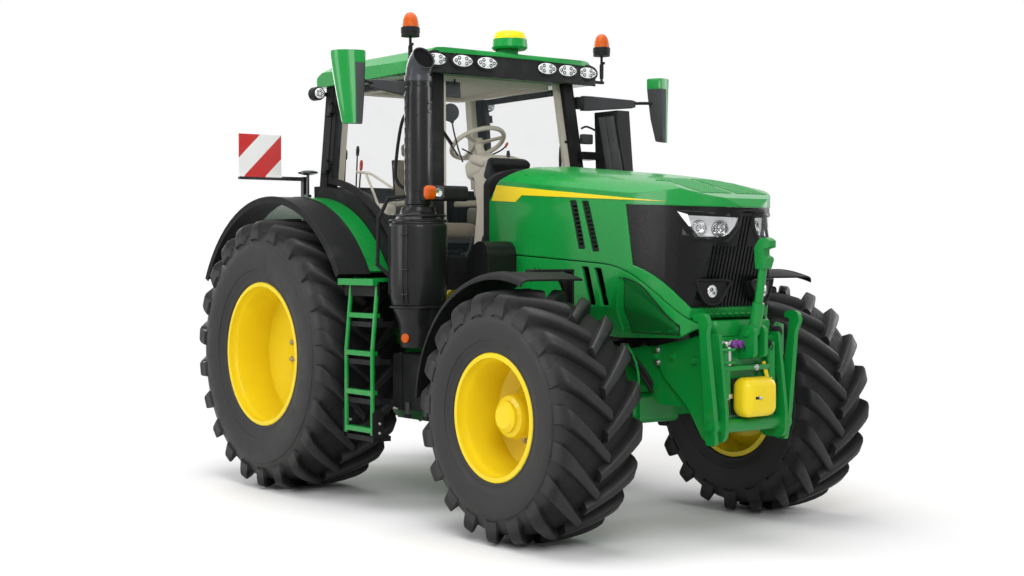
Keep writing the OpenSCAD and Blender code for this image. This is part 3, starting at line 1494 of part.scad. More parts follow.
place() transmission();
place() rear_axle_housing();
place() engine_block();
place() main_frame();
place() front_axle_beam();
place() tanks();
place() side_panels();
place() hitch_frame();
place() pto_guard();
place() exhaust();
place() intake_duct();
place() access_steps();
place() cab_base();
place() cab_pillars();
place() cab_roof();
place() roof_visor();
place() lamps();
place() windscreen();
place() rear_window();
place() dashboard();
place() steering_wheel();
place() seat();
place() rear_fenders();
place() fender_extensions();
place() mirrors();
place() beacons();
place() roof_receiver();
place() marker_board();
place() rear_hitch();
place() bonnet();
place() grille();
place() headlamps();
place() door_frame(1);  // door_left
place() door_glass(1);  // door_left_glass
place() door_frame(-1);  // door_right
place() door_glass(-1);  // door_right_glass
place() at_rear_wheel(1) rear_tyre();  // tyre_rear_left
place() at_rear_wheel(1) rear_rim();  // rim_rear_left
place() at_rear_wheel(-1) rear_tyre();  // tyre_rear_right
place() at_rear_wheel(-1) rear_rim();  // rim_rear_right
place() at_front_wheel(1) front_tyre();  // tyre_front_left
place() at_front_wheel(1) front_rim();  // rim_front_left
place() at_front_wheel(-1) front_tyre();  // tyre_front_right
place() at_front_wheel(-1) front_rim();  // rim_front_right
place() mirror([0, 1, 0]) knuckle();  // knuckle_left
place() mirror([0, 1, 0]) front_fender();  // front_fender_left
place() knuckle();  // knuckle_right
place() front_fender();  // front_fender_right
place() front_arms();
place() rear_lower_links();
place() rear_lift_arms();
place() rear_lift_rods();
place() bonnet_vents();
place() side_stripes();
place() lamp_brackets();
place() step_treads();
place() mirror_covers();
place() cab_lining();
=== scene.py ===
"""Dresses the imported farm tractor: paint, rubber, glass and trim on the solids, the fine detail they
leave out, and a white studio seen from the front right. Lengths are metres, in the part's own frame:
X forward, Y to the driver's left, Z up, with the origin on the ground under the machine's middle."""

import math

import bmesh
import bpy
from mathutils import Euler, Matrix, Vector
from mathutils.bvhtree import BVHTree


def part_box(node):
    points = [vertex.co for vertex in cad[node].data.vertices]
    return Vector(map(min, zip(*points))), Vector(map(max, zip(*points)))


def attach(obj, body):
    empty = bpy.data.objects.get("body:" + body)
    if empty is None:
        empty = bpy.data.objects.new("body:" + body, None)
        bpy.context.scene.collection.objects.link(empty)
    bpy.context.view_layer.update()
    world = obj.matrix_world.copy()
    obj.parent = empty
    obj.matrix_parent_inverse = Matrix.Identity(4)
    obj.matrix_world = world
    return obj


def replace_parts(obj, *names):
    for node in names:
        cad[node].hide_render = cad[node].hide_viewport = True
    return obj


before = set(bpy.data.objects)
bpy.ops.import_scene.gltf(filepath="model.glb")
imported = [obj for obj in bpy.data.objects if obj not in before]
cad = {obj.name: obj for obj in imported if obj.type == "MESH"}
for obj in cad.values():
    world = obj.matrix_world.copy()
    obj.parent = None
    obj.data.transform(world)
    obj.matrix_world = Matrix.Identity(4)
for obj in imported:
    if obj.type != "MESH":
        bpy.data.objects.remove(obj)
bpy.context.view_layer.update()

FORWARD, LEFT, UP = Vector((1, 0, 0)), Vector((0, 1, 0)), Vector((0, 0, 1))
SIDES = {"left": 1, "right": -1}
WHEELBASE = 2.9


def hub(corner):
    """The middle of a wheel."""
    low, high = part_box("rim_" + corner)
    return (low + high) / 2


# The rear axle's place in the part's frame: pieces are set out from it, as in the drawing
REAR_AXLE_X = (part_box("tyre_rear_left")[0].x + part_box("tyre_rear_left")[1].x) / 2
rear_hub, front_hub = hub("rear_left"), hub("front_left")


def at(x, y, z):
    """A point given from the ground under the rear axle."""
    return Vector((x + REAR_AXLE_X, y, z))


def route(points, hand=1):
    """Points given from the ground under the rear axle, mirrored to the right for hand -1."""
    return [at(x, hand * y, z) for x, y, z in points]


# Finishes


class Wire:
    """A socket of a material's node tree. Arithmetic on it adds Math nodes."""

    def __init__(self, tree, socket=None):
        self.tree = tree
        self.socket = socket

    def node(self, kind, inputs=None, out=0, **settings):
        """Adds a node: its settings first, then the values or links of its sockets."""
        made = self.tree.nodes.new("ShaderNode" + kind)
        for name, value in settings.items():
            setattr(made, name, value)
        for key, value in (inputs or {}).items():
            if isinstance(value, Wire):
                self.tree.links.new(value.socket, made.inputs[key])
            else:
                made.inputs[key].default_value = value
        return Wire(self.tree, made.outputs[out] if made.outputs else None)

    def math(self, operation, *values):
        return self.node("Math", dict(enumerate(values)), operation=operation)

    def __add__(self, other):
        return self.math("ADD", self, other)

    def __sub__(self, other):
        return self.math("SUBTRACT", self, other)

    def __rsub__(self, other):
        return self.math("SUBTRACT", other, self)

    def __mul__(self, other):
        return self.math("MULTIPLY", self, other)

    def __truediv__(self, other):
        return self.math("DIVIDE", self, other)

    def __gt__(self, other):
        return self.math("GREATER_THAN", self, other)

    def __lt__(self, other):
        return self.math("LESS_THAN", self, other)

    __radd__ = __add__
    __rmul__ = __mul__

    def fade(self, low, high):
        """0 below low, 1 above high, with a soft change between."""
        return self.node("MapRange", {0: self, 1: low, 2: high}, interpolation_type="SMOOTHSTEP")

    def mix(self, first, second):
        """The first colour where this mask is 0, the second where it is 1."""
        return self.node("Mix", {0: self, 6: shade(first), 7: shade(second)}, out=2, data_type="RGBA")


def shade(colour):
    """A colour as a socket takes it: a link as it is, or a value with its alpha."""
    return colour if isinstance(colour, Wire) else (*colour, 1)


def toned(colour, share):
    """A share of a colour, so a darker one."""
    return tuple(c * share for c in colour)


class Finish:
    """A material under construction: one main shader, and the helpers its textures need."""

    def __init__(self, name, **constants):
        self.material = bpy.data.materials.new(name)
        self.material.use_nodes = True
        self.tree = self.material.node_tree
        self.wire = Wire(self.tree)
        self.shader = self.tree.nodes["Principled BSDF"]
        self.set(**constants)

    def set(self, **values):
        """Sets or links the shader's sockets, such as Coat_Weight=0.5."""
        for key, value in values.items():
            socket = self.shader.inputs[key.replace("_", " ")]
            if isinstance(value, Wire):
                self.tree.links.new(value.socket, socket)
            else:
                socket.default_value = shade(value) if isinstance(value, tuple) else value

    def place(self):
        """The point on the object, in metres."""
        return self.wire.node("TexCoord", out="Object")

    def axis(self, index):
        return self.wire.node("SeparateXYZ", {0: self.place()}, out=index)

    def noise(self, scale, detail=3.0, rough=0.55):
        inputs = {"Vector": self.place(), "Scale": scale, "Detail": detail, "Roughness": rough}
        return self.wire.node("TexNoise", inputs)

    def cells(self, scale, feature="F1"):
        return self.wire.node("TexVoronoi", {"Vector": self.place(), "Scale": scale}, feature=feature)

    def bump(self, height, strength=0.3, distance=0.002, edge=0.004):
        """Relief from a height, over edges that look rounded off by a small radius."""
        eased = self.wire.node("Bevel", {"Radius": edge}, samples=4)
        relief = {"Height": height, "Strength": strength, "Distance": distance, "Normal": eased}
        self.set(Normal=self.wire.node("Bump", relief))
        return self


def enamel(name, colour, dusty, rough=0.24, coat=0.35, dirt=0.25, edge=0.004):
    """Sprayed paint under a clear coat, a little uneven, with faint dust low down."""
    f = Finish(name, Coat_Roughness=0.09, Specular_IOR_Level=0.16)
    low = 1 - f.axis(2).fade(0.5, 1.6)
    dust = low * f.noise(9, 5).fade(0.45, 0.75) * dirt
    tone = f.noise(3.1).mix(colour, toned(colour, 0.86))
    f.set(Base_Color=dust.mix(tone, dusty), Roughness=dust * 0.4 + f.noise(6, 2) * 0.08 + rough,
          Coat_Weight=(1 - dust) * coat)
    return f.bump(f.noise(1.7, 1), 0.01, 0.001, edge).material


def moulding(name, colour, rough=0.5, grain=900, wear=0.014, glow=0.0):
    """Moulded plastic with a fine leather-like grain and slightly paler rubbed areas; where glow is given, a
    painted glow in its own colour.
    """
    f = Finish(name, Specular_IOR_Level=0.15, Emission_Color=colour, Emission_Strength=glow)
    rubbed = f.noise(5.5, 6).fade(0.5, 0.8)
    f.set(Base_Color=rubbed.mix(colour, tuple(c + wear for c in colour)),
          Roughness=f.noise(40) * 0.18 + rough - rubbed * 0.08)
    return f.bump(f.cells(grain), 0.22, 0.0004).material


def tread_rubber(name, centre, crown):
    """Tyre rubber about an axle: worn a little paler on the bars, with painted shade darkening the grooves
    between them.
    """
    f = Finish(name, Specular_IOR_Level=0.32)
    reach = f.wire.node("VectorMath", {0: f.place(), 1: centre}, operation="SUBTRACT")
    flat = f.wire.node("VectorMath", {0: reach, 1: (1, 0, 1)}, operation="MULTIPLY")
    radius = f.wire.node("VectorMath", {0: flat}, out="Value", operation="LENGTH")
    # Painted shade in the grooves: a band of radius from below the crown to just above it is darkened and made
    # rougher.
    shaded_groove = radius.fade(crown - 0.07, crown - 0.01) * (1 - radius.fade(crown + 0.004, crown + 0.042))
    worn = f.noise(7.5, 6, 0.65).fade(0.42, 0.72)
    tone = worn.mix((0.011, 0.0113, 0.0112), (0.020, 0.0204, 0.020))
    f.set(Base_Color=shaded_groove.mix(tone, (0.004, 0.0041, 0.004)),
          Roughness=0.42 + worn * 0.2 + f.noise(60) * 0.1 + shaded_groove * 0.15)
    return f.bump(f.noise(420, 3) * 0.6 + f.noise(45, 3) * 0.4, 0.2, 0.001, 0.002).material


def pane(name, tint, alpha):
    """Safety glass: mostly clear, with a gloss that shows the room."""
    f = Finish(name, Base_Color=tint, Roughness=0.02, Specular_IOR_Level=0.8, Coat_Weight=1.0,
               Coat_Roughness=0.01)
    smear = f.noise(2.2, 4).fade(0.5, 0.8)
    f.set(Alpha=alpha + smear * 0.02)
    return f.material


def metal(name, colour, rough, streak=90):
    """Bare or plated metal with fine uneven polish."""
    f = Finish(name, Metallic=1.0)
    f.set(Base_Color=f.noise(12).mix(colour, toned(colour, 0.82)),
          Roughness=f.noise(streak, 4) * 0.14 + rough)
    return f.bump(f.noise(streak * 5, 2), 0.06, 0.0003).material


def tinted_lens(name, colour, glow):
    """A moulded coloured lens with fine vertical prisms, its ribs painted in turn in its colour and in a
    brighter glow colour as painted glints.
    """
    f = Finish(name, Roughness=0.15, Coat_Weight=0.15, Coat_Roughness=0.02, Specular_IOR_Level=0.15)
    turn = f.wire.math("ARCTAN2", f.axis(1), f.axis(0))
    ribs = f.wire.math("SINE", (turn * 40 + f.axis(2)) * 260)
    # Painted glints: the ribs alternate between the lens colour and the brighter glow colour.
    f.set(Base_Color=ribs.fade(-1, 1).mix(colour, glow))
    return f.bump(ribs, 0.25, 0.0006).material


def capped(name, split, lower, upper):
    """Two paints on one solid, parted at a height."""
    f = Finish(name, Coat_Weight=0.15, Coat_Roughness=0.08, Specular_IOR_Level=0.15)
    mask = f.axis(2) > split
    f.set(Base_Color=mask.mix(lower, upper), Roughness=0.3 + f.noise(30) * 0.1)
    return f.bump(f.noise(230, 2), 0.05, 0.0006).material


def perforated(name, colour, first, second, pitch=0.011):
    """Painted sheet with rows of small holes, set out along two of the axes, the holes darkened with painted
    shade.
    """
    f = Finish(name, Specular_IOR_Level=0.2)
    row = f.wire.math("SINE", f.axis(first) * (math.tau / pitch))
    column = f.wire.math("SINE", f.axis(second) * (math.tau / pitch))
    shaded_hole = (row * column).fade(0.1, 0.5)
    # Painted shade: the holes are coloured at a quarter of the sheet's colour, for the dark seen through them.
    f.set(Base_Color=shaded_hole.mix(colour, toned(colour, 0.25)), Roughness=0.4 + f.noise(20) * 0.15)
    return f.bump(1 - shaded_hole, 0.3, 0.0015).material


def weave():
    """Seat cloth: a fine over-and-under weave with a slightly mottled colour."""
    f = Finish("seat_cloth", Specular_IOR_Level=0.2, Sheen_Weight=0.25, Sheen_Roughness=0.5)
    warp = f.wire.math("SINE", (f.axis(0) + f.axis(2)) * 2400)
    weft = f.wire.math("SINE", f.axis(1) * 2400)
    tone = f.noise(18, 5).mix((0.33, 0.285, 0.205), (0.25, 0.215, 0.155))
    f.set(Base_Color=tone, Roughness=0.82 + f.noise(70) * 0.12)
    return f.bump(warp * weft, 0.35, 0.0008).material


GREEN = (0.004, 0.255, 0.040)
YELLOW = (0.86, 0.64, 0.012)
BLACK = (0.009, 0.0092, 0.0095)
DUST = (0.30, 0.27, 0.21)
BARE_PIPE = (0.05, 0.052, 0.06)

green_paint = enamel("green_enamel", GREEN, DUST)
bonnet_green = enamel("bonnet_green", GREEN, DUST, edge=0.016)
yellow_paint = enamel("yellow_enamel", YELLOW, DUST, 0.32, 0.25, 0.04)
chassis_green = enamel("chassis_green", toned(GREEN, 0.9), DUST, 0.30, 0.3, 0.07)
satin_black = enamel("satin_black", BLACK, DUST, 0.28, 0.2)
black_plastic = moulding("black_moulding", BLACK)
gloss_black = moulding("gloss_black", (0.005, 0.0052, 0.0056), 0.2, 400, 0.004)
grey_plastic = moulding("grey_moulding", (0.05, 0.052, 0.054), 0.55)
beige_trim = moulding("beige_moulding", (0.60, 0.555, 0.455), 0.55, 700)
purple = moulding("purple_caps", (0.18, 0.05, 0.26), 0.45)
# Near-black: soot, and painted shade for the dark inside of the exhaust's mouth.
soot_and_painted_shade = moulding("soot_and_painted_shade", (0.002, 0.002, 0.002), 0.9, wear=0.002)
# Painted glow: the lamp reflector emits faintly in its own colour, so the lamp housings and light plates look
# lit.
reflector = moulding("lamp_reflector", (0.80, 0.81, 0.82), 0.12, 300, 0.02, 0.2)
plain_rubber = moulding("plain_rubber", (0.012, 0.0122, 0.012), 0.6)
window_glass = pane("window_glass", (0.10, 0.14, 0.15), 0.05)
clear_lens = pane("clear_lens", (0.40, 0.42, 0.43), 0.08)
chrome = metal("bright_chrome", (0.78, 0.79, 0.80), 0.05)
steel = metal("zinc_steel", (0.50, 0.50, 0.48), 0.30)
# Each lens's second colour is the colour of its painted glints.
amber_lens = tinted_lens("amber_lens", (0.42, 0.055, 0.001), (0.62, 0.110, 0.002))
red_lens = tinted_lens("red_lens", (0.45, 0.008, 0.008), (0.65, 0.02, 0.015))
side_mesh_green = perforated("side_mesh_green", toned(GREEN, 0.5), 0, 2)
crown_mesh_green = perforated("crown_mesh_green", toned(GREEN, 0.95), 0, 1, 0.016)
seat_cloth = weave()

BOARD_WIDTH, BOARD_HEIGHT = 0.36, 0.32
BOARD_EDGE = 0.004


def marker_sheet():
    """Retroreflective sheet: red and white diagonal bands with a fine honeycomb, and black off the sheet."""
    f = Finish("marker_sheet", Coat_Weight=0.5, Coat_Roughness=0.1)
    low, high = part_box("marker_board")
    slant = (f.axis(1) - f.axis(2) + (high.z - low.y)) / BOARD_WIDTH
    band = f.wire.math("FRACT", slant) < 0.5
    lattice = f.cells(420, "DISTANCE_TO_EDGE").fade(0.0, 0.12)
    red = lattice.mix((0.40, 0.012, 0.012), (0.56, 0.022, 0.02))
    white = lattice.mix((0.62, 0.62, 0.61), (0.84, 0.84, 0.83))
    sheet = (f.axis(1) < low.y + BOARD_WIDTH) * (f.axis(2) > high.z - BOARD_HEIGHT - BOARD_EDGE)
    face = sheet.mix(BLACK, band.mix(white, red))
    f.set(Base_Color=face, Roughness=0.34 + f.noise(50) * 0.1)
    return f.bump(lattice, 0.1, 0.0003).material


# The finish of each carried-over solid. Two of them have a paint that changes at a height
EXHAUST_SPLIT = 2.93
RECEIVER_SPLIT = 0.62
receiver_low, receiver_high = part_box("roof_receiver")
receiver_split = receiver_low.z + RECEIVER_SPLIT * (receiver_high.z - receiver_low.z)
DRESS = {
    bonnet_green: ["bonnet", "side_panels"],
    green_paint: ["cab_roof", "rear_fenders", "access_steps", "mirror_covers"],
    chassis_green: ["transmission", "rear_axle_housing", "main_frame", "front_axle_beam", "hitch_frame",
                    "front_arms", "rear_hitch", "rear_lower_links", "rear_lift_arms", "rear_lift_rods",
                    "knuckle_left", "knuckle_right"],
    yellow_paint: ["pto_guard", "side_stripes", "rim_rear_left", "rim_rear_right", "rim_front_left",
                   "rim_front_right"],
    satin_black: ["engine_block", "intake_duct"],
    black_plastic: ["tanks", "cab_base", "cab_pillars", "roof_visor", "fender_extensions", "mirrors",
                    "bonnet_vents", "lamp_brackets", "step_treads", "front_fender_left", "front_fender_right",
                    "door_left", "door_right"],
    gloss_black: ["grille"],
    beige_trim: ["dashboard", "cab_lining", "steering_wheel", "seat"],
    plain_rubber: ["tyre_rear_left", "tyre_rear_right", "tyre_front_left", "tyre_front_right"],
    window_glass: ["windscreen", "rear_window", "door_left_glass", "door_right_glass"],
    clear_lens: ["headlamps", "lamps"],
    amber_lens: ["beacons"],
    marker_sheet(): ["marker_board"],
    capped("exhaust_paint", EXHAUST_SPLIT, BLACK, BARE_PIPE): ["exhaust"],
    capped("receiver_paint", receiver_split, GREEN, YELLOW): ["roof_receiver"],
}
SOLID_CREASE = math.radians(32)
SEAM = 1e-5


def dress(name, material):
    """Gives a carried-over solid its finish, with modifiers that keep flat faces flat and curves smooth."""
    mesh = cad[name].data
    mesh.materials.clear()
    mesh.materials.append(material)
    mesh.polygons.foreach_set("use_smooth", [True] * len(mesh.polygons))
    cad[name].modifiers.new("joined", "WELD").merge_threshold = SEAM
    cad[name].modifiers.new("creases", "EDGE_SPLIT").split_angle = SOLID_CREASE
    cad[name].modifiers.new("even_normals", "WEIGHTED_NORMAL").mode = "FACE_AREA"


for finish, names in DRESS.items():
    for name in names:
        dress(name, finish)

# Making pieces

LEVEL = (0, 0, 0)


def soften(bm, offset, steps):
    """Rounds off every edge of a shape."""
    bmesh.ops.bevel(bm, geom=bm.edges[:], offset=offset, segments=steps, profile=0.5, affect="EDGES",
                    clamp_overlap=True)


def block(centre, size, soft=0.004, turn=LEVEL, steps=2):
    """A box with softened edges, turned by degrees about X, Y and Z."""
    bm = bmesh.new()
    bmesh.ops.create_cube(bm, size=1)
    bmesh.ops.scale(bm, vec=size, verts=bm.verts)
    soften(bm, soft, steps)
    spin = Euler([math.radians(a) for a in turn]).to_matrix().to_4x4()
    bmesh.ops.transform(bm, matrix=Matrix.Translation(centre) @ spin, verts=bm.verts)
    return bm


def turned(profile, base, axis=UP, steps=32, closed=False):
    """A profile of (radius, height) pairs turned about an axis through base."""
    bm = bmesh.new()
    aim = Vector(axis).to_track_quat("Z", "Y").to_matrix()
    rings = []
    for radius, height in profile:
        rings.append([])
        for i in range(steps):
            a = math.tau * i / steps
            spot = Vector((radius * math.cos(a), radius * math.sin(a), height))
            rings[-1].append(bm.verts.new(aim @ spot + Vector(base)))
    for low, high in zip(rings, rings[1:] + rings[:1] if closed else rings[1:]):
        for i in range(steps):
            bm.faces.new((low[i], low[i - 1], high[i - 1], high[i]))
    if not closed:
        for ring, (radius, _) in ((rings[0], profile[0]), (rings[-1], profile[-1])):
            if radius > 0:
                bm.faces.new(ring)
    bmesh.ops.remove_doubles(bm, verts=bm.verts, dist=1e-6)
    bmesh.ops.recalc_face_normals(bm, faces=bm.faces)
    return bm


def lofted(rings):
    """A tube through rings of points, with flat ends."""
    bm = bmesh.new()
    loops = [[bm.verts.new(q) for q in ring] for ring in rings]
    for low, high in zip(loops, loops[1:]):
        for k in range(len(low)):
            bm.faces.new((low[k - 1], low[k], high[k], high[k - 1]))
    bm.faces.new(loops[0])
    bm.faces.new(loops[-1])
    bmesh.ops.recalc_face_normals(bm, faces=bm.faces)
    return bm


def smooth_line(points, fine):
    """Points along a smooth curve through the given ones, fine to each span."""
    points = [Vector(q) for q in points]
    ends = [2 * points[0] - points[1]] + points + [2 * points[-1] - points[-2]]
    line = []
    for a, b, c, d in zip(ends, ends[1:], ends[2:], ends[3:]):
        for i in range(fine):
            t = i / fine
            line.append(0.5 * (2 * b + (c - a) * t + (2 * a - 5 * b + 4 * c - d) * t * t
                               + (3 * b - a - 3 * c + d) * t ** 3))
    return line + [points[-1]]


def hose(points, radius, sides=10, fine=6):
    """A round bar, hose or bead along a smooth line through the points."""
    line = smooth_line(points, fine)
    side = (line[1] - line[0]).orthogonal().normalized()
    rings = []
    for i, spot in enumerate(line):
        along = (line[min(i + 1, len(line) - 1)] - line[max(i - 1, 0)]).normalized()
        side = (side - along * side.dot(along)).normalized()
        other = along.cross(side)
        rings.append([spot + radius * (side * math.cos(a) + other * math.sin(a))
                      for a in (math.tau * k / sides for k in range(sides))])
    return lofted(rings)


def plate(outline, depth, origin, across=LEFT, up=UP, soft=0.003, steps=2):
    """An outline in (across, up), thickened backwards from their common normal, with softened edges."""
    u, v = Vector(across).normalized(), Vector(up).normalized()
    back = u.cross(v) * -depth
    bm = bmesh.new()
    front = [bm.verts.new(Vector(origin) + u * a + v * b) for a, b in outline]
    rear = [bm.verts.new(q.co + back) for q in front]
    bm.faces.new(front)
    bm.faces.new(rear[::-1])
    for i in range(len(front)):
        bm.faces.new((front[i - 1], rear[i - 1], rear[i], front[i]))
    bmesh.ops.recalc_face_normals(bm, faces=bm.faces)
    soften(bm, soft, steps)
    return bm


def skin(rows, thick):
    """A sheet through rows of points."""
    bm = bmesh.new()
    grid = [[bm.verts.new(q) for q in row] for row in rows]
    for low, high in zip(grid, grid[1:]):
        for i in range(1, len(low)):
            bm.faces.new((low[i - 1], low[i], high[i], high[i - 1]))
    bmesh.ops.recalc_face_normals(bm, faces=bm.faces)
    bmesh.ops.solidify(bm, geom=bm.faces[:], thickness=thick)
    return bm


def oval(width, height, count=28):
    """An ellipse by its half width and half height."""
    return [(width * math.cos(a), height * math.sin(a)) for a in (math.tau * i / count for i in range(count))]


def arc(centre, radius, y, first, last, count=40):
    """Points on a circle about a wheel's axle, from one angle to another in degrees."""
    return [Vector((centre.x + radius * math.cos(a), y, centre.z + radius * math.sin(a)))
            for a in (math.radians(first + (last - first) * i / count) for i in range(count + 1))]


class Form:
    """Gathers shapes into one mesh, each in one of the form's finishes."""

    def __init__(self, *finishes):
        self.bm = bmesh.new()
        self.finishes = finishes

    def add(self, shape, finish=None, painted=False):
        """Takes in a shape: in the first finish, in a named one or, if painted, in those its faces have."""
        if not painted:
            index = 0 if finish is None else self.finishes.index(finish)
            for face in shape.faces:
                face.material_index = index
        mesh = bpy.data.meshes.new("shape")
        shape.to_mesh(mesh)
        shape.free()
        self.bm.from_mesh(mesh)
        bpy.data.meshes.remove(mesh)
        return self

    def blocks(self, finish, *rows):
        """Takes in softened boxes, each row as block() takes it."""
        for row in rows:
            self.add(block(*row), finish)

    def bars(self, finish, *rows, hand=1):
        """Takes in round bars, each row as hose() takes it, its points as route() does."""
        for points, *sizes in rows:
            self.add(hose(route(points, hand), *sizes), finish)

    def bolt(self, base, axis, size, finish=None):
        """A washer and a hexagon head."""
        aim = Vector(axis).normalized()
        washer = [(0, 0), (size * 0.95, 0), (size * 0.95, size * 0.12), (0, size * 0.12)]
        head = [(0, 0), (size * 0.62, 0), (size * 0.62, size * 0.42), (size * 0.52, size * 0.5),
                (0, size * 0.5)]
        self.add(turned(washer, base, aim, 20), finish)
        self.add(turned(head, Vector(base) + aim * size * 0.1, aim, 6), finish)

    def done(self, name, body, slot, angle=35):
        """Makes the object, smooth but for edges sharper than angle, riding on a body."""
        mesh = bpy.data.meshes.new(name)
        self.bm.to_mesh(mesh)
        self.bm.free()
        for finish in self.finishes:
            mesh.materials.append(finish)
        mesh.polygons.foreach_set("use_smooth", [True] * len(mesh.polygons))
        mesh.set_sharp_from_angle(angle=math.radians(angle))
        piece = bpy.data.objects.new(name, mesh)
        bpy.context.scene.collection.objects.link(piece)
        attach(piece, body)
        return piece


def islands(node):
    """The separate solids of a CAD node, each as its faces' (centre, normal, area)."""
    bm = bmesh.new()
    bm.from_mesh(cad[node].data)
    bmesh.ops.remove_doubles(bm, verts=bm.verts, dist=SEAM)
    found, seen = [], set()
    for face in bm.faces:
        if face in seen:
            continue
        group, queue = [], [face]
        seen.add(face)
        while queue:
            here = queue.pop()
            group.append((here.calc_center_median(), here.normal.copy(), here.calc_area()))
            for edge in here.edges:
                for near in edge.link_faces:
                    if near not in seen:
                        seen.add(near)
                        queue.append(near)
        found.append(group)
    bm.free()
    return found


def lens_fronts(node):
    """Where each lens of a node faces: its centre and its outward direction."""
    fronts = []
    for group in islands(node):
        ahead = [(centre, normal, area) for centre, normal, area in group if normal.x > 0.5]
        whole = sum(area for _, _, area in ahead)
        middle = sum((centre * area for centre, _, area in ahead), Vector()) / whole
        outward = sum((normal * area for _, normal, area in ahead), Vector()).normalized()
        fronts.append((middle, outward))
    return fronts


def surface(*nodes):
    """The skin of some CAD nodes, for pieces that lie on it."""
    bm = bmesh.new()
    for node in nodes:
        bm.from_mesh(cad[node].data)
    found = BVHTree.FromBMesh(bm)
    bm.free()
    return found


def laid(tree, spot, towards, lift):
    """A spot moved along a direction onto a surface, and lifted a little off it."""
    towards = Vector(towards).normalized()
    place = tree.ray_cast(spot, towards)[0]
    return (spot if place is None else place) - towards * lift


def densified(outline, count=6):
    """A closed outline with more points along each of its edges, ending where it starts."""
    pairs = zip(outline, outline[1:] + outline[:1])
    line = [Vector(a).lerp(Vector(b), i / count) for a, b in pairs for i in range(count)]
    return line + line[:1]


# Wheels

REAR_LUGS, FRONT_LUGS = 22, 19
LUG_HEIGHT = 0.055
LUG_SWEEP = 0.9
LUG_NOSE, LUG_END = 0.058, 0.100
LUG_DRAFT = 0.016
LUG_CROSS = 0.03
# How far a lug's foot reaches across, and how deep it is sunk: in lug heights, and more past a place across
LUG_FOOT, LUG_SINK, LUG_SHOULDER_SINK, LUG_SHOULDER = 0.44, 1.45, 0.12, 0.2
LUG_WALL = 0.02
# Rounded edge of a lug from its flank to its top: distance outside the half width, drop below the top
LUG_EDGE = ((0.004, 0.014), (-0.003, 0.004), (-0.012, 0.0))
# Lug crest from the middle of the tread over the shoulder: place across the width, drop below the crown
LUG_CREST = ((-0.03, 0.0), (0.06, 0.001), (0.15, 0.002), (0.24, 0.0035), (0.33, 0.008), (0.41, 0.015),
             (0.452, 0.024), (0.474, 0.040), (0.485, 0.070), (0.491, 0.110), (0.495, 0.150))
# Carcass from the crown to the bead: place across the width, share of the wall height above the rim
CARCASS = ((0.0, 1.0), (0.18, 0.992), (0.32, 0.965), (0.41, 0.91), (0.455, 0.83), (0.475, 0.74),
           (0.488, 0.66), (0.494, 0.655), (0.498, 0.64), (0.5, 0.5), (0.496, 0.36), (0.484, 0.23),
           (0.478, 0.225), (0.476, 0.205), (0.463, 0.12), (0.452, 0.06), (0.455, 0.045), (0.450, 0.02),
           (0.436, 0.0), (0.43, -0.03))
STUDS, STUD_CIRCLE, STUD_BAND = 10, 0.212, 0.02
NUT, NUT_SINK = 0.026, 0.002
# Valve stem: distance inside the rim's edge and off the disc, its two lengths, its bend and its radius
VALVE_INSET, VALVE_LIFT, VALVE_ROOT, VALVE_TIP, VALVE_BEND = 0.075, 0.05, 0.06, 0.05, 0.02
VALVE_RADIUS = 0.007


def lug(centre, radius, width, start, hand):
    """One bar of the tread: it rises from the carcass and sweeps back over the crown to the shoulder."""
    rows = []
    for place, drop in LUG_CREST:
        y = place * width
        top = radius - drop
        half = LUG_NOSE / 2 + (LUG_END - LUG_NOSE) * max(place, 0)
        lean = start + LUG_SWEEP * (place + LUG_CROSS) * width / radius
        inset = min(y, LUG_FOOT * width)
        sunk = radius - LUG_SINK * LUG_HEIGHT - LUG_SHOULDER_SINK * max(place - LUG_SHOULDER, 0)
        flank = [(half + LUG_DRAFT, min(top - LUG_WALL, sunk), inset)]
        flank += [(half + out, top - dip, y) for out, dip in LUG_EDGE]
        section = [(-across, r, side) for across, r, side in flank] + flank[::-1]
        angles = [lean + across / r for across, r, _ in section]
        rows.append([centre + Vector((r * math.cos(a), hand * side, r * math.sin(a)))
                     for a, (_, r, side) in zip(angles, section)])
    return lofted(rows)


def tyre(corner, lugs):
    """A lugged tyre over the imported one: carcass with bead and shoulder steps, and two rows of bars."""
    low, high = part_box("tyre_" + corner)
    centre = (low + high) / 2
    radius, width = (high.z - low.z) / 2, high.y - low.y
    rim_low, rim_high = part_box("rim_" + corner)
    bead = (rim_high.z - rim_low.z) / 2
    crown = radius - LUG_HEIGHT
    half = [(bead + share * (crown - bead), place * width) for place, share in CARCASS]
    profile = [(r, -y) for r, y in half[::-1]] + half[1:]
    form = Form(tread_rubber("rubber_" + corner, centre, crown))
    form.add(turned(profile, centre, LEFT, 120, closed=True))
    for i in range(lugs):
        for hand, offset in ((-1, 0), (1, 0.5)):
            form.add(lug(centre, radius, width, math.tau * (i + offset) / lugs - math.pi / 2, hand))
    piece = form.done("tread_" + corner, "wheel_" + corner, "tyre_rubber", 40)
    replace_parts(piece, "tyre_" + corner)


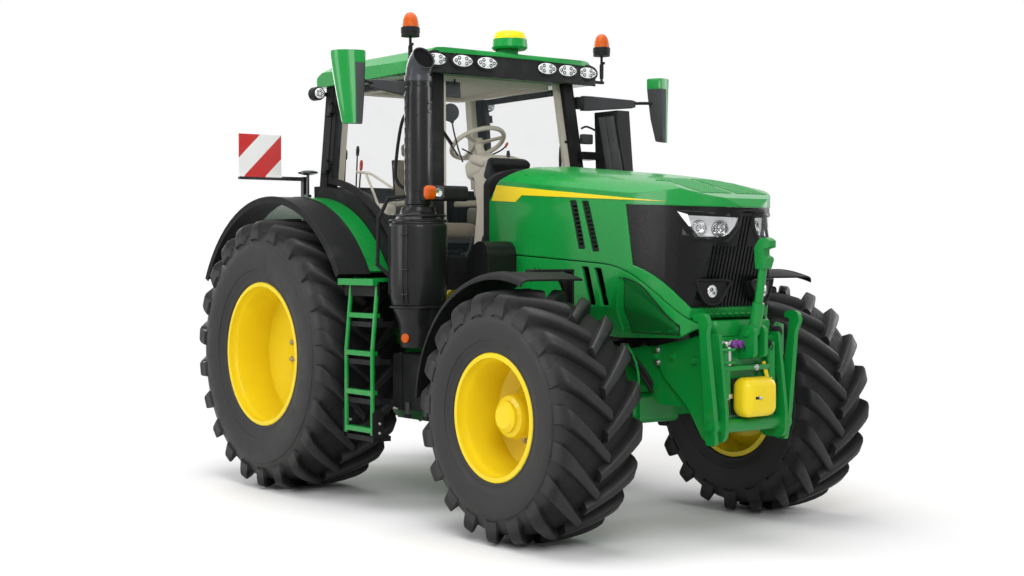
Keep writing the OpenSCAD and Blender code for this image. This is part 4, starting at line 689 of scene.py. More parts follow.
def wheel_fittings(corner, hand):
    """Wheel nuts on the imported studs, and a valve stem."""
    low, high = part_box("rim_" + corner)
    centre = hub(corner)
    out = LEFT * hand
    spots = [v.co - centre for v in cad["rim_" + corner].data.vertices]
    near = [q.dot(out) for q in spots if abs(math.hypot(q.x, q.z) - STUD_CIRCLE) < STUD_BAND]
    face = max(near, default=0.0)
    form = Form(steel, black_plastic)
    for i in range(STUDS):
        a = math.tau * (i + 0.5) / STUDS
        stud = Vector((STUD_CIRCLE * math.cos(a), 0, STUD_CIRCLE * math.sin(a)))
        form.bolt(centre + stud + out * (face - NUT_SINK), out, NUT)
    stem = centre + FORWARD * ((high.z - low.z) / 2 - VALVE_INSET) + out * (face + VALVE_LIFT)
    tip = stem + out * VALVE_TIP - FORWARD * VALVE_BEND
    form.add(hose([stem - out * VALVE_ROOT, stem, tip], VALVE_RADIUS, 8), black_plastic)
    form.done("wheel_nuts_" + corner, "wheel_" + corner, "black_plastic")


for end, count in (("rear", REAR_LUGS), ("front", FRONT_LUGS)):
    for side, hand in SIDES.items():
        tyre(f"{end}_{side}", count)
        wheel_fittings(f"{end}_{side}", hand)

# Lamps

# Cups in a lamp: places as shares of its half width and half height, and radius
OVAL_CELLS = [(x, y, 0.013) for x in (-0.38, 0.38) for y in (-0.46, 0.46)]
OVAL_CELLS += [(-0.72, 0, 0.013), (0.72, 0, 0.013)]
ROUND_CELLS = [(0.55 * math.cos(a), 0.55 * math.sin(a), 0.010) for a in (math.tau * i / 5 for i in range(5))]
NOSE_CELLS = [(-0.2, 0.25, 0.011), (0.3, -0.3, 0.009)]
ROOF_LAMP_RISE = 0.020
SIDE_LAMP_Y = 0.78
# How far a lamp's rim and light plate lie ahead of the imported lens, and its cover ahead of the plate; depths
RIM_LIFT, RIM_DEPTH = 0.003, 0.03
PLATE_LIFT, PLATE_DEPTH = 0.006, 0.006
COVER_LIFT, COVER_DEPTH, COVER_SHARE = 0.009, 0.002, 0.98


def led_lamp(form, centre, normal, width, height, cells, surround):
    """A light plate with round cups, behind a clear cover, in a dark surround."""
    bright, dark, cover = form.finishes
    across = UP.cross(normal).normalized()
    up = normal.cross(across)
    face = centre + normal * PLATE_LIFT
    rim = oval(width + surround, height + surround)
    form.add(plate(rim, RIM_DEPTH, centre + normal * RIM_LIFT, across, up), dark)
    form.add(plate(oval(width, height), PLATE_DEPTH, face, across, up, 0.002), bright)
    for a, b, r in cells:
        spot = face + across * a * width + up * b * height
        cup = [(r, 0), (r, 0.004), (r * 0.72, 0.004), (r * 0.55, 0.001), (0, 0.001)]
        bulb = [(r * 0.5, 0), (r * 0.46, 0.003), (r * 0.25, 0.006), (0, 0.007)]
        form.add(turned(cup, spot, normal, 16), dark)
        form.add(turned(bulb, spot, normal, 12), bright)
    lens = oval(width * COVER_SHARE, height * COVER_SHARE)
    form.add(plate(lens, COVER_DEPTH, face + normal * COVER_LIFT, across, up, 0.0005), cover)


# The roof lamps' light plates are in the lamp reflector's finish, with its painted glow.
roof_lights = Form(reflector, black_plastic, clear_lens)
for centre, normal in lens_fronts("lamps"):
    if abs(centre.y) > SIDE_LAMP_Y:
        led_lamp(roof_lights, centre, normal, 0.040, 0.040, ROUND_CELLS, 0.010)
    else:
        led_lamp(roof_lights, centre + UP * ROOF_LAMP_RISE, normal, 0.084, 0.040, OVAL_CELLS, 0.022)
roof_lights.done("roof_light_cups", "chassis", "clear_lens")

# Headlamp on its sloping plane, from the outer top corner inwards: place along it, height
LAMP_OUTER, LAMP_INNER = at(3.600, 0.356, 0), at(3.774, 0.060, 0)
LAMP_OUTLINE = [(0.012, 2.006), (0.335, 1.992), (0.330, 1.960), (0.262, 1.872), (0.070, 1.872),
                (0.030, 1.930)]
LAMP_WINDOW = [(0.016, 2.006), (0.333, 1.990), (0.327, 1.962), (0.260, 1.876), (0.074, 1.876),
               (0.036, 1.930)]
LAMP_SURROUND = [(-0.062, 2.040), (0.360, 2.016), (0.354, 1.952), (0.272, 1.842), (0.046, 1.842),
                 (-0.008, 1.925)]
LAMP_TIP = [(-0.042, 2.028), (0.014, 2.010), (0.033, 1.936), (0.020, 1.938), (-0.012, 1.985)]
# Its two bowls: place along the plane, height, radius
PROJECTOR, MAIN_BOWL = (0.098, 1.928, 0.047), (0.228, 1.923, 0.050)
BOWL_DEPTH = 0.074
# Steps of the housing from its mouth to its back: depth, share of the outline
HOUSING_STEPS = ((0.030, 1.0), (0.034, 0.97), (0.060, 0.92), (0.075, 0.86), (0.078, 0.0))
# Section of the surround from its outer edge to the window: share of the way, lift off the bodywork
SURROUND_STEPS = ((0.0, 0.001), (0.3, 0.006), (0.8, 0.006), (1.0, 0.001))
AHEAD = 0.2
nose_skin = surface("headlamps", "grille", "bonnet")


def headlamp(hand):
    """Bright stepped housing with a projector and a four-part reflector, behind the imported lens."""
    mirror = Vector((1, hand, 1))
    start, end = LAMP_OUTER * mirror, LAMP_INNER * mirror
    along = (end - start).normalized()
    out = Vector((along.y, -along.x, 0)) * math.copysign(1, along.y)
    facing = (0, 0, math.degrees(math.atan2(out.y, out.x)))
    form = Form(chrome, gloss_black, clear_lens, reflector)

    def spot(u, z, depth):
        return start + along * u + UP * z - out * depth

    def on_nose(u, z, lift):
        return laid(nose_skin, spot(u, z, -AHEAD), -out, lift)

    middle = sum((Vector(q) for q in LAMP_OUTLINE), Vector((0, 0))) / len(LAMP_OUTLINE)
    rows = []
    for depth, keep in HOUSING_STEPS:
        ring = [spot(*middle.lerp(Vector(q), keep), depth) for q in LAMP_OUTLINE]
        rows.append(ring + ring[:1])
    # The housing is in the lamp reflector's finish, with its painted glow.
    form.add(skin(rows, 0.002), reflector)
    edges = list(zip(densified(LAMP_SURROUND), densified(LAMP_WINDOW)))
    rows = [[on_nose(*a.lerp(b, share), lift) for a, b in edges] for share, lift in SURROUND_STEPS]
    form.add(skin(rows, 0.003), gloss_black)
    middle = sum((Vector(q) for q in LAMP_TIP), Vector((0, 0))) / len(LAMP_TIP)
    tip = densified(LAMP_TIP)
    rows = [[on_nose(*q.lerp(middle, share), 0.009) for q in tip] for share in (0.0, 0.5, 0.95)]
    form.add(skin(rows, 0.003), reflector)

    for u, z, r in (PROJECTOR, MAIN_BOWL):
        base = spot(u, z, BOWL_DEPTH)
        bowl = [(r, 0), (r, 0.034), (r * 0.93, 0.036), (r * 0.9, 0.03), (r * 0.62, 0.012), (0, 0.008)]
        ring = [(r * 0.99, 0.02), (r * 1.05, 0.022), (r * 1.05, 0.03), (r * 0.99, 0.032)]
        form.add(turned(bowl, base, out, 36))
        form.add(turned(ring, base, out, 36, True), gloss_black)
    u, z, r = PROJECTOR
    dome = [(r * 0.72, 0.01), (r * 0.72, 0.022), (r * 0.5, 0.034), (0, 0.040)]
    form.add(turned(dome, spot(u, z, BOWL_DEPTH), out, 32), clear_lens)
    u, z, r = MAIN_BOWL
    base = spot(u, z, BOWL_DEPTH)
    for i in range(4):
        turn = math.tau * (i + 0.5) / 4
        cup = base + (along * math.cos(turn) + UP * math.sin(turn)) * r * 0.42 + out * 0.012
        form.add(turned([(r * 0.34, 0), (r * 0.34, 0.016), (r * 0.26, 0.012), (0, 0.006)], cup, out, 20))
        form.add(turned([(r * 0.12, 0.006), (r * 0.1, 0.012), (0, 0.014)], cup, out, 12), gloss_black)
    form.blocks(gloss_black, (base + out * 0.018, (0.008, r * 1.7, 0.007), 0.002, facing),
                (base + out * 0.018, (0.008, 0.007, r * 1.7), 0.002, facing))
    return form


for side, hand in SIDES.items():
    headlamp(hand).done("headlamp_" + side, "bonnet", "clear_lens")

# Nose lamp bezels: a brow over a tapering scoop, with a round lamp in each
BEZEL_OUTLINE = [(0.336, 1.612), (0.101, 1.606), (0.118, 1.552), (0.150, 1.500), (0.196, 1.466),
                 (0.262, 1.478), (0.309, 1.541)]
BEZEL_FACE = 3.694
BEZEL_TURN = 0.2
NOSE_LAMP_Y, NOSE_LAMP_Z = 0.222, 1.545
nose_lights = Form(chrome, black_plastic, clear_lens)
for hand in SIDES.values():
    pivot = at(BEZEL_FACE, hand * NOSE_LAMP_Y, 0)
    across = Vector((-BEZEL_TURN * hand, 1, 0)).normalized()
    outline = [(hand * (y - NOSE_LAMP_Y), z) for y, z in BEZEL_OUTLINE]
    rim = [pivot + across * y + UP * z for y, z in outline]
    nose_lights.add(plate(outline[::-hand], 0.07, pivot, across, soft=0.012, steps=3), black_plastic)
    nose_lights.add(hose(rim + rim[:1], 0.009, 10, 5), black_plastic)
    led_lamp(nose_lights, pivot + UP * NOSE_LAMP_Z, across.cross(UP), 0.033, 0.038, NOSE_CELLS, 0.008)
nose_lights.done("nose_light_bezels", "bonnet", "black_plastic")

TURN_LAMP_Z = 2.180
TURN_BOWL = [(0.030, 0), (0.027, 0.010), (0.012, 0.002), (0, 0.002)]
turn_lamps = Form(amber_lens, clear_lens, chrome)
for hand in SIDES.values():
    outer, inner = at(1.862, hand * 1.024, TURN_LAMP_Z), at(1.866, hand * 0.950, TURN_LAMP_Z)
    turn_lamps.add(block(outer, (0.060, 0.090, 0.094), 0.029, steps=6), amber_lens)
    turn_lamps.add(block(inner, (0.046, 0.070, 0.090), 0.022, steps=5), clear_lens)
    turn_lamps.add(turned(TURN_BOWL, at(1.851, hand * 0.950, TURN_LAMP_Z), FORWARD), chrome)
turn_lamps.done("turn_lenses", "chassis", "amber_lens")

BEACON_REFLECTOR = [(0.040, 0.004), (0.036, 0.03), (0.015, 0.05), (0.012, 0.085), (0, 0.088)]
BEACON_COLLAR = [(0.058, -0.010), (0.066, -0.004), (0.066, 0.030), (0.060, 0.036)]
BEACON_SOCKET = [(0, -0.20), (0.015, -0.20), (0.016, -0.10), (0.012, -0.09), (0, -0.09)]
beacon_works = Form(chrome, black_plastic)
for group in islands("beacons"):
    middle = sum((centre for centre, _, _ in group), Vector()) / len(group)
    foot = Vector((middle.x, middle.y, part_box("beacons")[0].z))
    beacon_works.add(turned(BEACON_REFLECTOR, foot))
    beacon_works.add(turned(BEACON_COLLAR, foot, closed=True), black_plastic)
    beacon_works.add(turned(BEACON_SOCKET, foot, steps=20), black_plastic)
    beacon_works.add(block(foot + Vector((0.012, 0, -0.085)), (0.044, 0.014, 0.020), 0.004), black_plastic)
beacon_works.done("beacon_reflectors", "chassis", "amber_lens")

TAIL_ANGLE, TAIL_RADIUS = 139.4, 1.257
TAIL_LENS = (0.124, 0.078, 0.018)
tail_lamps = Form(red_lens, amber_lens)
for hand in SIDES.values():
    for y, finish in ((1.020, red_lens), (1.105, amber_lens)):
        spot = arc(rear_hub, TAIL_RADIUS, hand * y, TAIL_ANGLE, TAIL_ANGLE, 1)[0]
        tail_lamps.add(block(spot, TAIL_LENS, 0.006, (0, 90 - TAIL_ANGLE, 0), 3), finish)
tail_lamps.done("tail_lenses", "chassis", "amber_lens")

# Fenders

# Beads along a rear fender: radius, place across, first and last angle, thickness, sides
REAR_BEADS = ((1.176, 1.208, 31, 152, 0.010, 10), (1.1835, 0.975, 40, 148, 0.005, 8))
rear_fender_edge = Form(black_plastic)
for hand in SIDES.values():
    for radius, y, first, last, thick, sides in REAR_BEADS:
        rear_fender_edge.add(hose(arc(rear_hub, radius, hand * y, first, last), thick, sides, 1))
rear_fender_edge.done("rear_fender_beads", "chassis", "black_plastic")

# Front fender's section from the inner edge over the top and down the lip: place across, radius
SHELL_SECTION = [(0.800, 0.870), (0.800, 0.878), (0.806, 0.882), (1.205, 0.882), (1.240, 0.879),
                 (1.258, 0.871), (1.268, 0.859), (1.273, 0.846), (1.273, 0.836), (1.266, 0.836),
                 (1.264, 0.846), (1.257, 0.858), (1.244, 0.867), (1.225, 0.870)]
SHELL_FRONT, SHELL_REAR, SHELL_STEPS = 72, 176, 64
LIP_RADIUS, LIP_Y = 0.840, 1.270
CREASE_RADIUS, CREASE_Y, CREASE_SHORT = 0.8825, 1.205, 3
FENDER_BRACE = [(WHEELBASE, 0.694, 1.46), (WHEELBASE, 0.76, 1.61), (WHEELBASE, 0.88, 1.655)]
FENDER_BOLT = 0.012


def fender_shell(hand):
    """The front fender: a moulded arch with a turned-down lip, on a bolted post and arm."""
    first, last = SHELL_FRONT, SHELL_REAR
    lines = [arc(front_hub, radius, hand * y, first, last, SHELL_STEPS) for y, radius in SHELL_SECTION]
    crease = arc(front_hub, CREASE_RADIUS, hand * CREASE_Y, first + CREASE_SHORT, last - CREASE_SHORT)
    form = Form(black_plastic).add(lofted(zip(*lines)))
    form.add(hose(arc(front_hub, LIP_RADIUS, hand * LIP_Y, first, last), 0.005, 8, 1))
    form.add(hose(crease, 0.004, 8, 1))
    form.blocks(black_plastic, (at(WHEELBASE, hand * 0.686, 1.2905), (0.09, 0.016, 0.771)),
                (at(WHEELBASE, hand * 0.839, 1.668), (0.09, 0.322, 0.016)),
                (at(WHEELBASE, hand * 0.729, 0.913), (0.09, 0.102, 0.016)))
    form.bars(black_plastic, (FENDER_BRACE, 0.014), hand=hand)
    for x in (WHEELBASE - 0.022, WHEELBASE + 0.022):
        form.bolt(at(x, hand * 0.94, 1.675), UP, FENDER_BOLT)
        form.bolt(at(x, hand * 0.694, 1.02), LEFT * hand, FENDER_BOLT)
    return form


for side, hand in SIDES.items():
    piece = fender_shell(hand).done("front_fender_shell_" + side, "knuckle_" + side, "black_plastic")
    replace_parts(piece, "front_fender_" + side)

# Mirror heads, turned out at the front so that their glass faces the driver

MIRROR_ROOT = (1.470, 1.290, 2.640)
MIRROR_HEIGHT = 0.490
MIRROR_TOE = math.radians(22)
MIRROR_DEPTH = 0.127
# Section from the inner edge to the outer one: share of the width, distance ahead of the glass
MIRROR_SECTION = [(0.0, 0.0), (0.005, 0.05), (0.03, 0.095), (0.08, 0.112), (0.22, 0.122), (0.36, 0.127),
                  (0.40, 0.127), (0.60, 0.120), (0.80, 0.100), (0.92, 0.074), (0.99, 0.035), (1.0, 0.012),
                  (0.985, 0.0)]
# Levels up the head: share of the height, width, share of the depth, shift outwards
MIRROR_LEVELS = [(0.0, 0.118, 0.42, 0.034), (0.012, 0.134, 0.52, 0.028), (0.35, 0.176, 0.80, 0.014),
                 (0.70, 0.212, 0.95, 0.005), (0.835, 0.224, 1.0, 0.002), (0.850, 0.225, 1.0, 0.002),
                 (0.980, 0.236, 1.0, 0.0), (1.0, 0.224, 0.92, 0.006)]
# The last dark point of the section, and the level from which the head is green all round
MIRROR_DARK, MIRROR_CAP = 5, 4
# Heights of the two panes, and their place across, as shares
MIRROR_PANES = ((0.06, 0.29), (0.32, 0.96))
PANE_INNER, PANE_WIDTH, PANE_ROWS, PANE_COLUMNS = 0.07, 0.84, 6, 4
PANE_THICK = 0.002
MIRROR_TUBE = [(1.420, 1.19, 2.935), (1.448, 1.25, 2.938), (1.500, 1.32, 2.938)]


def mirror_spot(hand, level, across, ahead):
    """A point on a mirror head at one of its levels."""
    share, width, depth, shift = level
    forward = Vector((math.cos(MIRROR_TOE), hand * math.sin(MIRROR_TOE), 0))
    outward = Vector((-math.sin(MIRROR_TOE), hand * math.cos(MIRROR_TOE), 0))
    root = at(MIRROR_ROOT[0], hand * MIRROR_ROOT[1], MIRROR_ROOT[2] + MIRROR_HEIGHT * share)
    deep = MIRROR_DEPTH - (MIRROR_DEPTH - ahead) * depth
    return root + outward * (shift + across * width) + forward * deep


def mirror_level(share):
    """The level at a share of the height, between the listed ones."""
    for low, high in zip(MIRROR_LEVELS, MIRROR_LEVELS[1:]):
        if share <= high[0]:
            t = (share - low[0]) / (high[0] - low[0])
            return [a + (b - a) * t for a, b in zip(low, high)]
    return MIRROR_LEVELS[-1]


def mirror_head(form, hand):
    """A lofted shell, green at the front and over the top, dark on its inner side, with two panes behind."""
    dark, green, glass = form.finishes[:3]
    shell = lofted([[mirror_spot(hand, level, *q) for q in MIRROR_SECTION] for level in MIRROR_LEVELS])
    for index, face in enumerate(shell.faces):
        level, place = divmod(index, len(MIRROR_SECTION))
        finish = green if level >= MIRROR_CAP or place > MIRROR_DARK else dark
        face.material_index = form.finishes.index(finish)
    shell.faces.ensure_lookup_table()
    foot = shell.faces[-2]
    foot.material_index = form.finishes.index(dark)
    form.add(shell, painted=True)
    places = [PANE_INNER + PANE_WIDTH * j / PANE_COLUMNS for j in range(PANE_COLUMNS + 1)]
    for low, high in MIRROR_PANES:
        levels = [mirror_level(low + (high - low) * i / PANE_ROWS) for i in range(PANE_ROWS + 1)]
        rows = [[mirror_spot(hand, level, q, -PANE_THICK) for q in places] for level in levels]
        form.add(skin(rows, PANE_THICK), glass)


def tapered(stations):
    """A chamfered bar through stations of (centre, half depth, half height)."""
    rings = []
    for centre, deep, tall in stations:
        cut = 0.3 * min(deep, tall)
        corners = [(deep, tall - cut), (deep - cut, tall), (cut - deep, tall), (-deep, tall - cut),
                   (-deep, cut - tall), (cut - deep, -tall), (deep - cut, -tall), (deep, cut - tall)]
        rings.append([centre + Vector((a, 0, b)) for a, b in corners])
    return lofted(rings)


mirrors = Form(grey_plastic, green_paint, chrome, black_plastic)
for hand in SIDES.values():
    mirror_head(mirrors, hand)
    mirrors.blocks(black_plastic, (at(1.342, hand * 0.700, 2.915), (0.072, 0.075, 0.090), 0.012))
    mirrors.add(tapered([(at(1.350, hand * 0.735, 2.915), 0.026, 0.056),
                         (at(1.362, hand * 0.80, 2.916), 0.024, 0.055),
                         (at(1.418, hand * 1.17, 2.928), 0.014, 0.032),
                         (at(1.424, hand * 1.205, 2.930), 0.010, 0.024)]))
    mirrors.bars(black_plastic, (MIRROR_TUBE, 0.012), hand=hand)
mirror_piece = mirrors.done("mirror_heads", "chassis", "black_plastic")
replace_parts(mirror_piece, "mirrors", "mirror_covers")

# Body panels

# Top edge of the mesh in a lower side panel: place along, height
MESH_TOP = [(3.14, 1.625), (3.22, 1.606), (3.292, 1.575), (3.36, 1.520), (3.421, 1.462), (3.511, 1.374),
            (3.566, 1.335)]
MESH_FOOT, MESH_STEPS, MESH_LIFT = 1.280, 12, 0.003
BESIDE, ABOVE = 0.8, 2.6
# Mesh on the bonnet's crown: its ends, its inner and outer edge, and its steps along and across
CROWN_START, CROWN_END, CROWN_INNER, CROWN_OUTER = 3.26, 3.66, 0.02, 0.285
CROWN_ROWS, CROWN_COLUMNS = 10, 6
SHEET = 0.002
# Row of teeth under the nose
TEETH, TOOTH_PITCH = 9, 0.055
lower_skin = surface("side_panels")
bonnet_skin = surface("bonnet")


def side_mesh_rows(hand):
    """Upright rows of points on a lower side panel, from the mesh's foot to its top edge."""
    rows = []
    for top in smooth_line([(x, z, 0) for x, z in MESH_TOP], 3):
        heights = [MESH_FOOT + (top.y - MESH_FOOT) * i / MESH_STEPS for i in range(MESH_STEPS + 1)]
        rows.append([laid(lower_skin, at(top.x, hand * BESIDE, z), -LEFT * hand, MESH_LIFT) for z in heights])
    return rows


def crown_rows(hand):
    """Rows of points across one half of the bonnet's crown."""
    along = [CROWN_START + (CROWN_END - CROWN_START) * i / CROWN_ROWS for i in range(CROWN_ROWS + 1)]
    across = [CROWN_INNER + (CROWN_OUTER - CROWN_INNER) * j / CROWN_COLUMNS for j in range(CROWN_COLUMNS + 1)]
    return [[laid(bonnet_skin, at(x, hand * y, ABOVE), -UP, SHEET) for y in across] for x in along]


side_mesh = Form(side_mesh_green, black_plastic)
bonnet_trim = Form(crown_mesh_green, green_paint)
for hand in SIDES.values():
    rows = side_mesh_rows(hand)
    border = [row[-1] for row in rows] + rows[-1][-2::-1] + [row[0] for row in rows[-2::-1]] + rows[0][1:]
    side_mesh.add(skin(rows, SHEET))
    side_mesh.add(hose(border, 0.004, 6, 1), black_plastic)
    bonnet_trim.add(skin(crown_rows(hand), SHEET))
for k in range(TEETH):
    tooth = at(3.622, TOOTH_PITCH * (k - (TEETH - 1) / 2), 1.402)
    bonnet_trim.blocks(green_paint, (tooth, (0.016, 0.036, 0.016), 0.006))
side_mesh.done("side_mesh", "chassis", "green_paint")
bonnet_trim.done("bonnet_trim", "bonnet", "green_paint")

# Exhaust

STACK = at(1.665, -0.985, 0)
MOUTH, MOUTH_LEAN = at(1.7246, -0.985, 3.0843), (0.88, 0, 0.47)
MOUTH_DISC = [(0, 0.0005), (0.078, 0.0005), (0.078, 0.002), (0, 0.002)]
MOUTH_RIM = [(0.077, 0), (0.084, 0), (0.084, 0.010), (0.082, 0.014), (0.079, 0.014), (0.077, 0.010)]
# Seam up the can: the angles of its two edges and of its middle, and the heights of its clasps
SEAM_EDGES, SEAM_MIDDLE = (-66, -56), -61
SEAM_LINE, CLASPS = (1.43, 1.60, 1.78, 1.96), (1.50, 1.665, 1.90)
CLASP_RADIUS = 0.203
CLASP_PIN = [(0.008, 0), (0.008, 0.006), (0.004, 0.010), (0, 0.010)]
# Bands round the can: height, radius
CAN_BANDS = ((1.405, 0.192), (1.985, 0.196), (2.02, 0.184))
PIPE_SLEEVE = [(0.0845, 2.10), (0.0885, 2.105), (0.0885, 2.895), (0.0845, 2.90)]
HEAT_SHIELD = [(-0.095, 2.12), (0.030, 2.12), (0.030, 2.885), (-0.095, 2.885)]
SIDE_MARKER = [(0.001, 0), (0.032, 0), (0.032, 0.006), (0.026, 0.012), (0, 0.012)]
MARKER_TURN = -1.2


def round_stack(radius, degrees, z):
    """A point about the exhaust's upright axis."""
    a = math.radians(degrees)
    return STACK + Vector((radius * math.cos(a), radius * math.sin(a), z))


stack_trim = Form(satin_black, amber_lens, soot_and_painted_shade, grey_plastic)
# A near-black disc on the closed mouth: painted shade for the open pipe's dark inside, with soot.
stack_trim.add(turned(MOUTH_DISC, MOUTH, MOUTH_LEAN, 48), soot_and_painted_shade)
stack_trim.add(turned(MOUTH_RIM, MOUTH, MOUTH_LEAN, 48, closed=True), grey_plastic)
for degrees in SEAM_EDGES:
    out = round_stack(1, degrees, 0) - STACK
    stack_trim.add(hose([round_stack(0.1985, degrees, z) for z in SEAM_LINE], 0.005, 8, 2))
    for z in CLASPS:
        stack_trim.add(turned(CLASP_PIN, round_stack(CLASP_RADIUS, degrees, z), out, 12))
for z in CLASPS:
    clasp = round_stack(CLASP_RADIUS, SEAM_MIDDLE, z)
    stack_trim.add(block(clasp, (0.016, 0.040, 0.012), 0.003, (0, 0, SEAM_MIDDLE)))
for z, r in CAN_BANDS:
    band = [(r, z), (r + 0.006, z + 0.004), (r + 0.006, z + 0.014), (r, z + 0.018)]
    stack_trim.add(turned(band, STACK, steps=64, closed=True))
stack_trim.add(turned(PIPE_SLEEVE, STACK, steps=64, closed=True))
stack_trim.add(plate(HEAT_SHIELD, 0.006, round_stack(0.092, -150, 0), (0.55, -0.83, 0), UP, 0.004))
for z in (2.72, 2.78):
    clamp = [(0.087, z), (0.093, z + 0.003), (0.093, z + 0.021), (0.087, z + 0.024)]
    stack_trim.add(turned(clamp, STACK, steps=48, closed=True))
for z in (2.71, 2.80):
    stack_trim.bolt(round_stack(0.092, -40, z), round_stack(1, -40, 0) - STACK, 0.012)
marker_out = (math.cos(MARKER_TURN), math.sin(MARKER_TURN), 0)
stack_trim.add(turned(SIDE_MARKER, round_stack(0.131, -75, 1.205), marker_out, 28), amber_lens)
stack_trim.done("exhaust_trim", "chassis", "black_plastic")

# Intake panel

# It leans back up the left pillar: its rear edge at the top, and how far it moves ahead per metre down
INTAKE_TOP, INTAKE_REAR, INTAKE_LEAN, INTAKE_FACE = 2.84, 1.44, 0.2318, 0.780
INTAKE_FOOT = 1.90
INTAKE_HANDLE = [(1.38, 0.70, 2.72), (1.40, 0.74, 2.735), (1.46, 0.79, 2.70)]


def intake_rib(first, last, top, out):
    """An outline along the leaning panel between two distances from its rear edge."""
    head, foot = [INTAKE_REAR + INTAKE_LEAN * (INTAKE_TOP - z) for z in (top, INTAKE_FOOT)]
    outline = [(foot + first, INTAKE_FOOT), (foot + last, INTAKE_FOOT), (head + last, top),
               (head + first, top)]
    return plate(outline, out, Vector((REAR_AXLE_X, INTAKE_FACE - out + 0.002, 0)), FORWARD, UP, 0.004)


intake_cover = Form(grey_plastic, black_plastic)
for first, last in ((0.045, 0.115), (0.123, 0.215)):
    intake_cover.add(intake_rib(first, last, 2.800, 0.012))
intake_cover.add(intake_rib(0.228, 0.248, 2.825, 0.010), black_plastic)
intake_cover.blocks(grey_plastic, (at(1.400, 0.735, 2.640), (0.05, 0.10, 0.075), 0.010))
intake_cover.bars(black_plastic, (INTAKE_HANDLE, 0.008))
intake_cover.done("intake_cover", "chassis", "black_plastic")

# Front linkage

HEADSTOCK, CHEEK_FACE = 3.760, 0.270
# Couplings on the headstock: place across, finish of the cap, radius
COUPLINGS = ((-0.195, steel, 0.020), (-0.125, purple, 0.024), (-0.078, purple, 0.024), (0.105, steel, 0.026),
             (0.165, black_plastic, 0.022))
COUPLING_Z = 1.225
CAP_STRAP = (Vector((0.05, 0, 0)), Vector((0.062, 0.01, -0.02)), Vector((0.045, 0.016, -0.045)))
CHEEK_BOLTS = ((3.268, 1.170), (3.252, 1.131), (3.270, 1.092))
DRAW_PIN = [(0.013, -0.05), (0.013, 0.05), (0.018, 0.05), (0.018, 0.060), (0, 0.062)]
PIN_EAR = [(-0.245, -0.01), (-0.135, -0.01), (-0.135, 0.05), (-0.16, 0.075), (-0.21, 0.075), (-0.245, 0.05)]
RAM_Y = 0.182
RAM_ROD = [(0.0185, 0.78), (0.0185, 0.895), (0.024, 0.897), (0.024, 0.905), (0.0185, 0.907)]
RAM_COLLAR = [(0.036, 0.90), (0.038, 0.905), (0.038, 0.925), (0.036, 0.93)]
RAM_HOSE = [(3.778, 0.205, 1.06), (3.80, 0.222, 1.02), (3.805, 0.222, 0.93), (3.79, 0.216, 0.86),
            (3.765, 0.20, 0.83)]
SOCKET_FACE = 3.712
SOCKET_PLATE = [(0.235, 1.12), (0.395, 1.14), (0.395, 1.33), (0.33, 1.345), (0.235, 1.27)]
TRAILER_SOCKET = [(0.044, 0), (0.044, 0.010), (0.036, 0.014), (0.036, 0.030), (0.041, 0.032), (0.038, 0.050),
                  (0.020, 0.054), (0, 0.054)]
SOCKET_CABLE = [(3.71, 0.29, 1.24), (3.70, 0.30, 1.12), (3.69, 0.27, 0.98), (3.66, 0.262, 0.86)]
LATCH_KNOB = [(0.011, 0), (0.011, 0.012), (0.006, 0.016), (0, 0.016)]
# Bead across the face of the shaft's cap
CAP_BEAD = [(3.893, -0.062, 0.790), (3.908, -0.058, 0.86), (3.918, -0.02, 0.94), (3.906, 0.05, 0.99),
            (3.872, 0.11, 1.018)]

couplings = Form(steel, purple, black_plastic, chassis_green, chrome, yellow_paint)
for y, finish, r in COUPLINGS:
    foot = at(HEADSTOCK, y, COUPLING_Z)
    body = [(r * 1.15, 0), (r * 1.15, 0.012), (r * 0.9, 0.014), (r * 0.9, 0.030), (0, 0.030)]
    cap = [(r, 0.018), (r * 1.05, 0.022), (r * 1.05, 0.040), (r * 0.8, 0.048), (0, 0.050)]
    couplings.add(turned(body, foot, FORWARD, 24))
    couplings.add(turned(cap, foot, FORWARD, 24), finish)
    couplings.add(hose([foot + q for q in CAP_STRAP], 0.003, 6), black_plastic)
for hand in SIDES.values():
    for x, z in CHEEK_BOLTS:
        couplings.bolt(at(x, hand * CHEEK_FACE, z), LEFT * hand, 0.024)
    couplings.add(turned(RAM_ROD, at(3.784, hand * RAM_Y, 0), steps=24, closed=True), chrome)
    couplings.add(turned(RAM_COLLAR, at(3.781, hand * RAM_Y, 0), steps=28, closed=True))
    couplings.bars(black_plastic, (RAM_HOSE, 0.008), hand=hand)
couplings.add(turned(DRAW_PIN, at(3.805, -0.185, 1.15), UP, 20))
couplings.bolt(at(3.815, 0.04, 1.080), FORWARD, 0.020)
couplings.add(turned(LATCH_KNOB, at(3.915, -0.036, 0.905), FORWARD, 16))
for z in (1.112, 1.188):
    couplings.add(plate(PIN_EAR, 0.016, at(3.758, 0, z), LEFT, FORWARD, 0.004), chassis_green)
couplings.add(plate(SOCKET_PLATE, 0.012, at(SOCKET_FACE, 0, 0), soft=0.004), chassis_green)
couplings.blocks(chassis_green, (at(3.700, 0, 1.318), (0.10, 0.46, 0.100), 0.012),
                 (at(3.790, -0.05, 1.080), (0.05, 0.42, 0.032), 0.008))
couplings.add(turned(TRAILER_SOCKET, at(SOCKET_FACE, 0.290, 1.285), (0.9, 0.2, 0), 28), black_plastic)
couplings.blocks(black_plastic, (at(3.728, 0.270, 1.185), (0.03, 0.062, 0.066), 0.006),
                 (at(3.748, 0.270, 1.190), (0.016, 0.052, 0.050), 0.005, (0, 12, 0)),
                 (at(3.913, -0.050, 0.905), (0.012, 0.052, 0.020), 0.004, (0, -8, 0)))
couplings.bars(black_plastic, (SOCKET_CABLE, 0.007))
couplings.bars(yellow_paint, (CAP_BEAD, 0.004, 8))
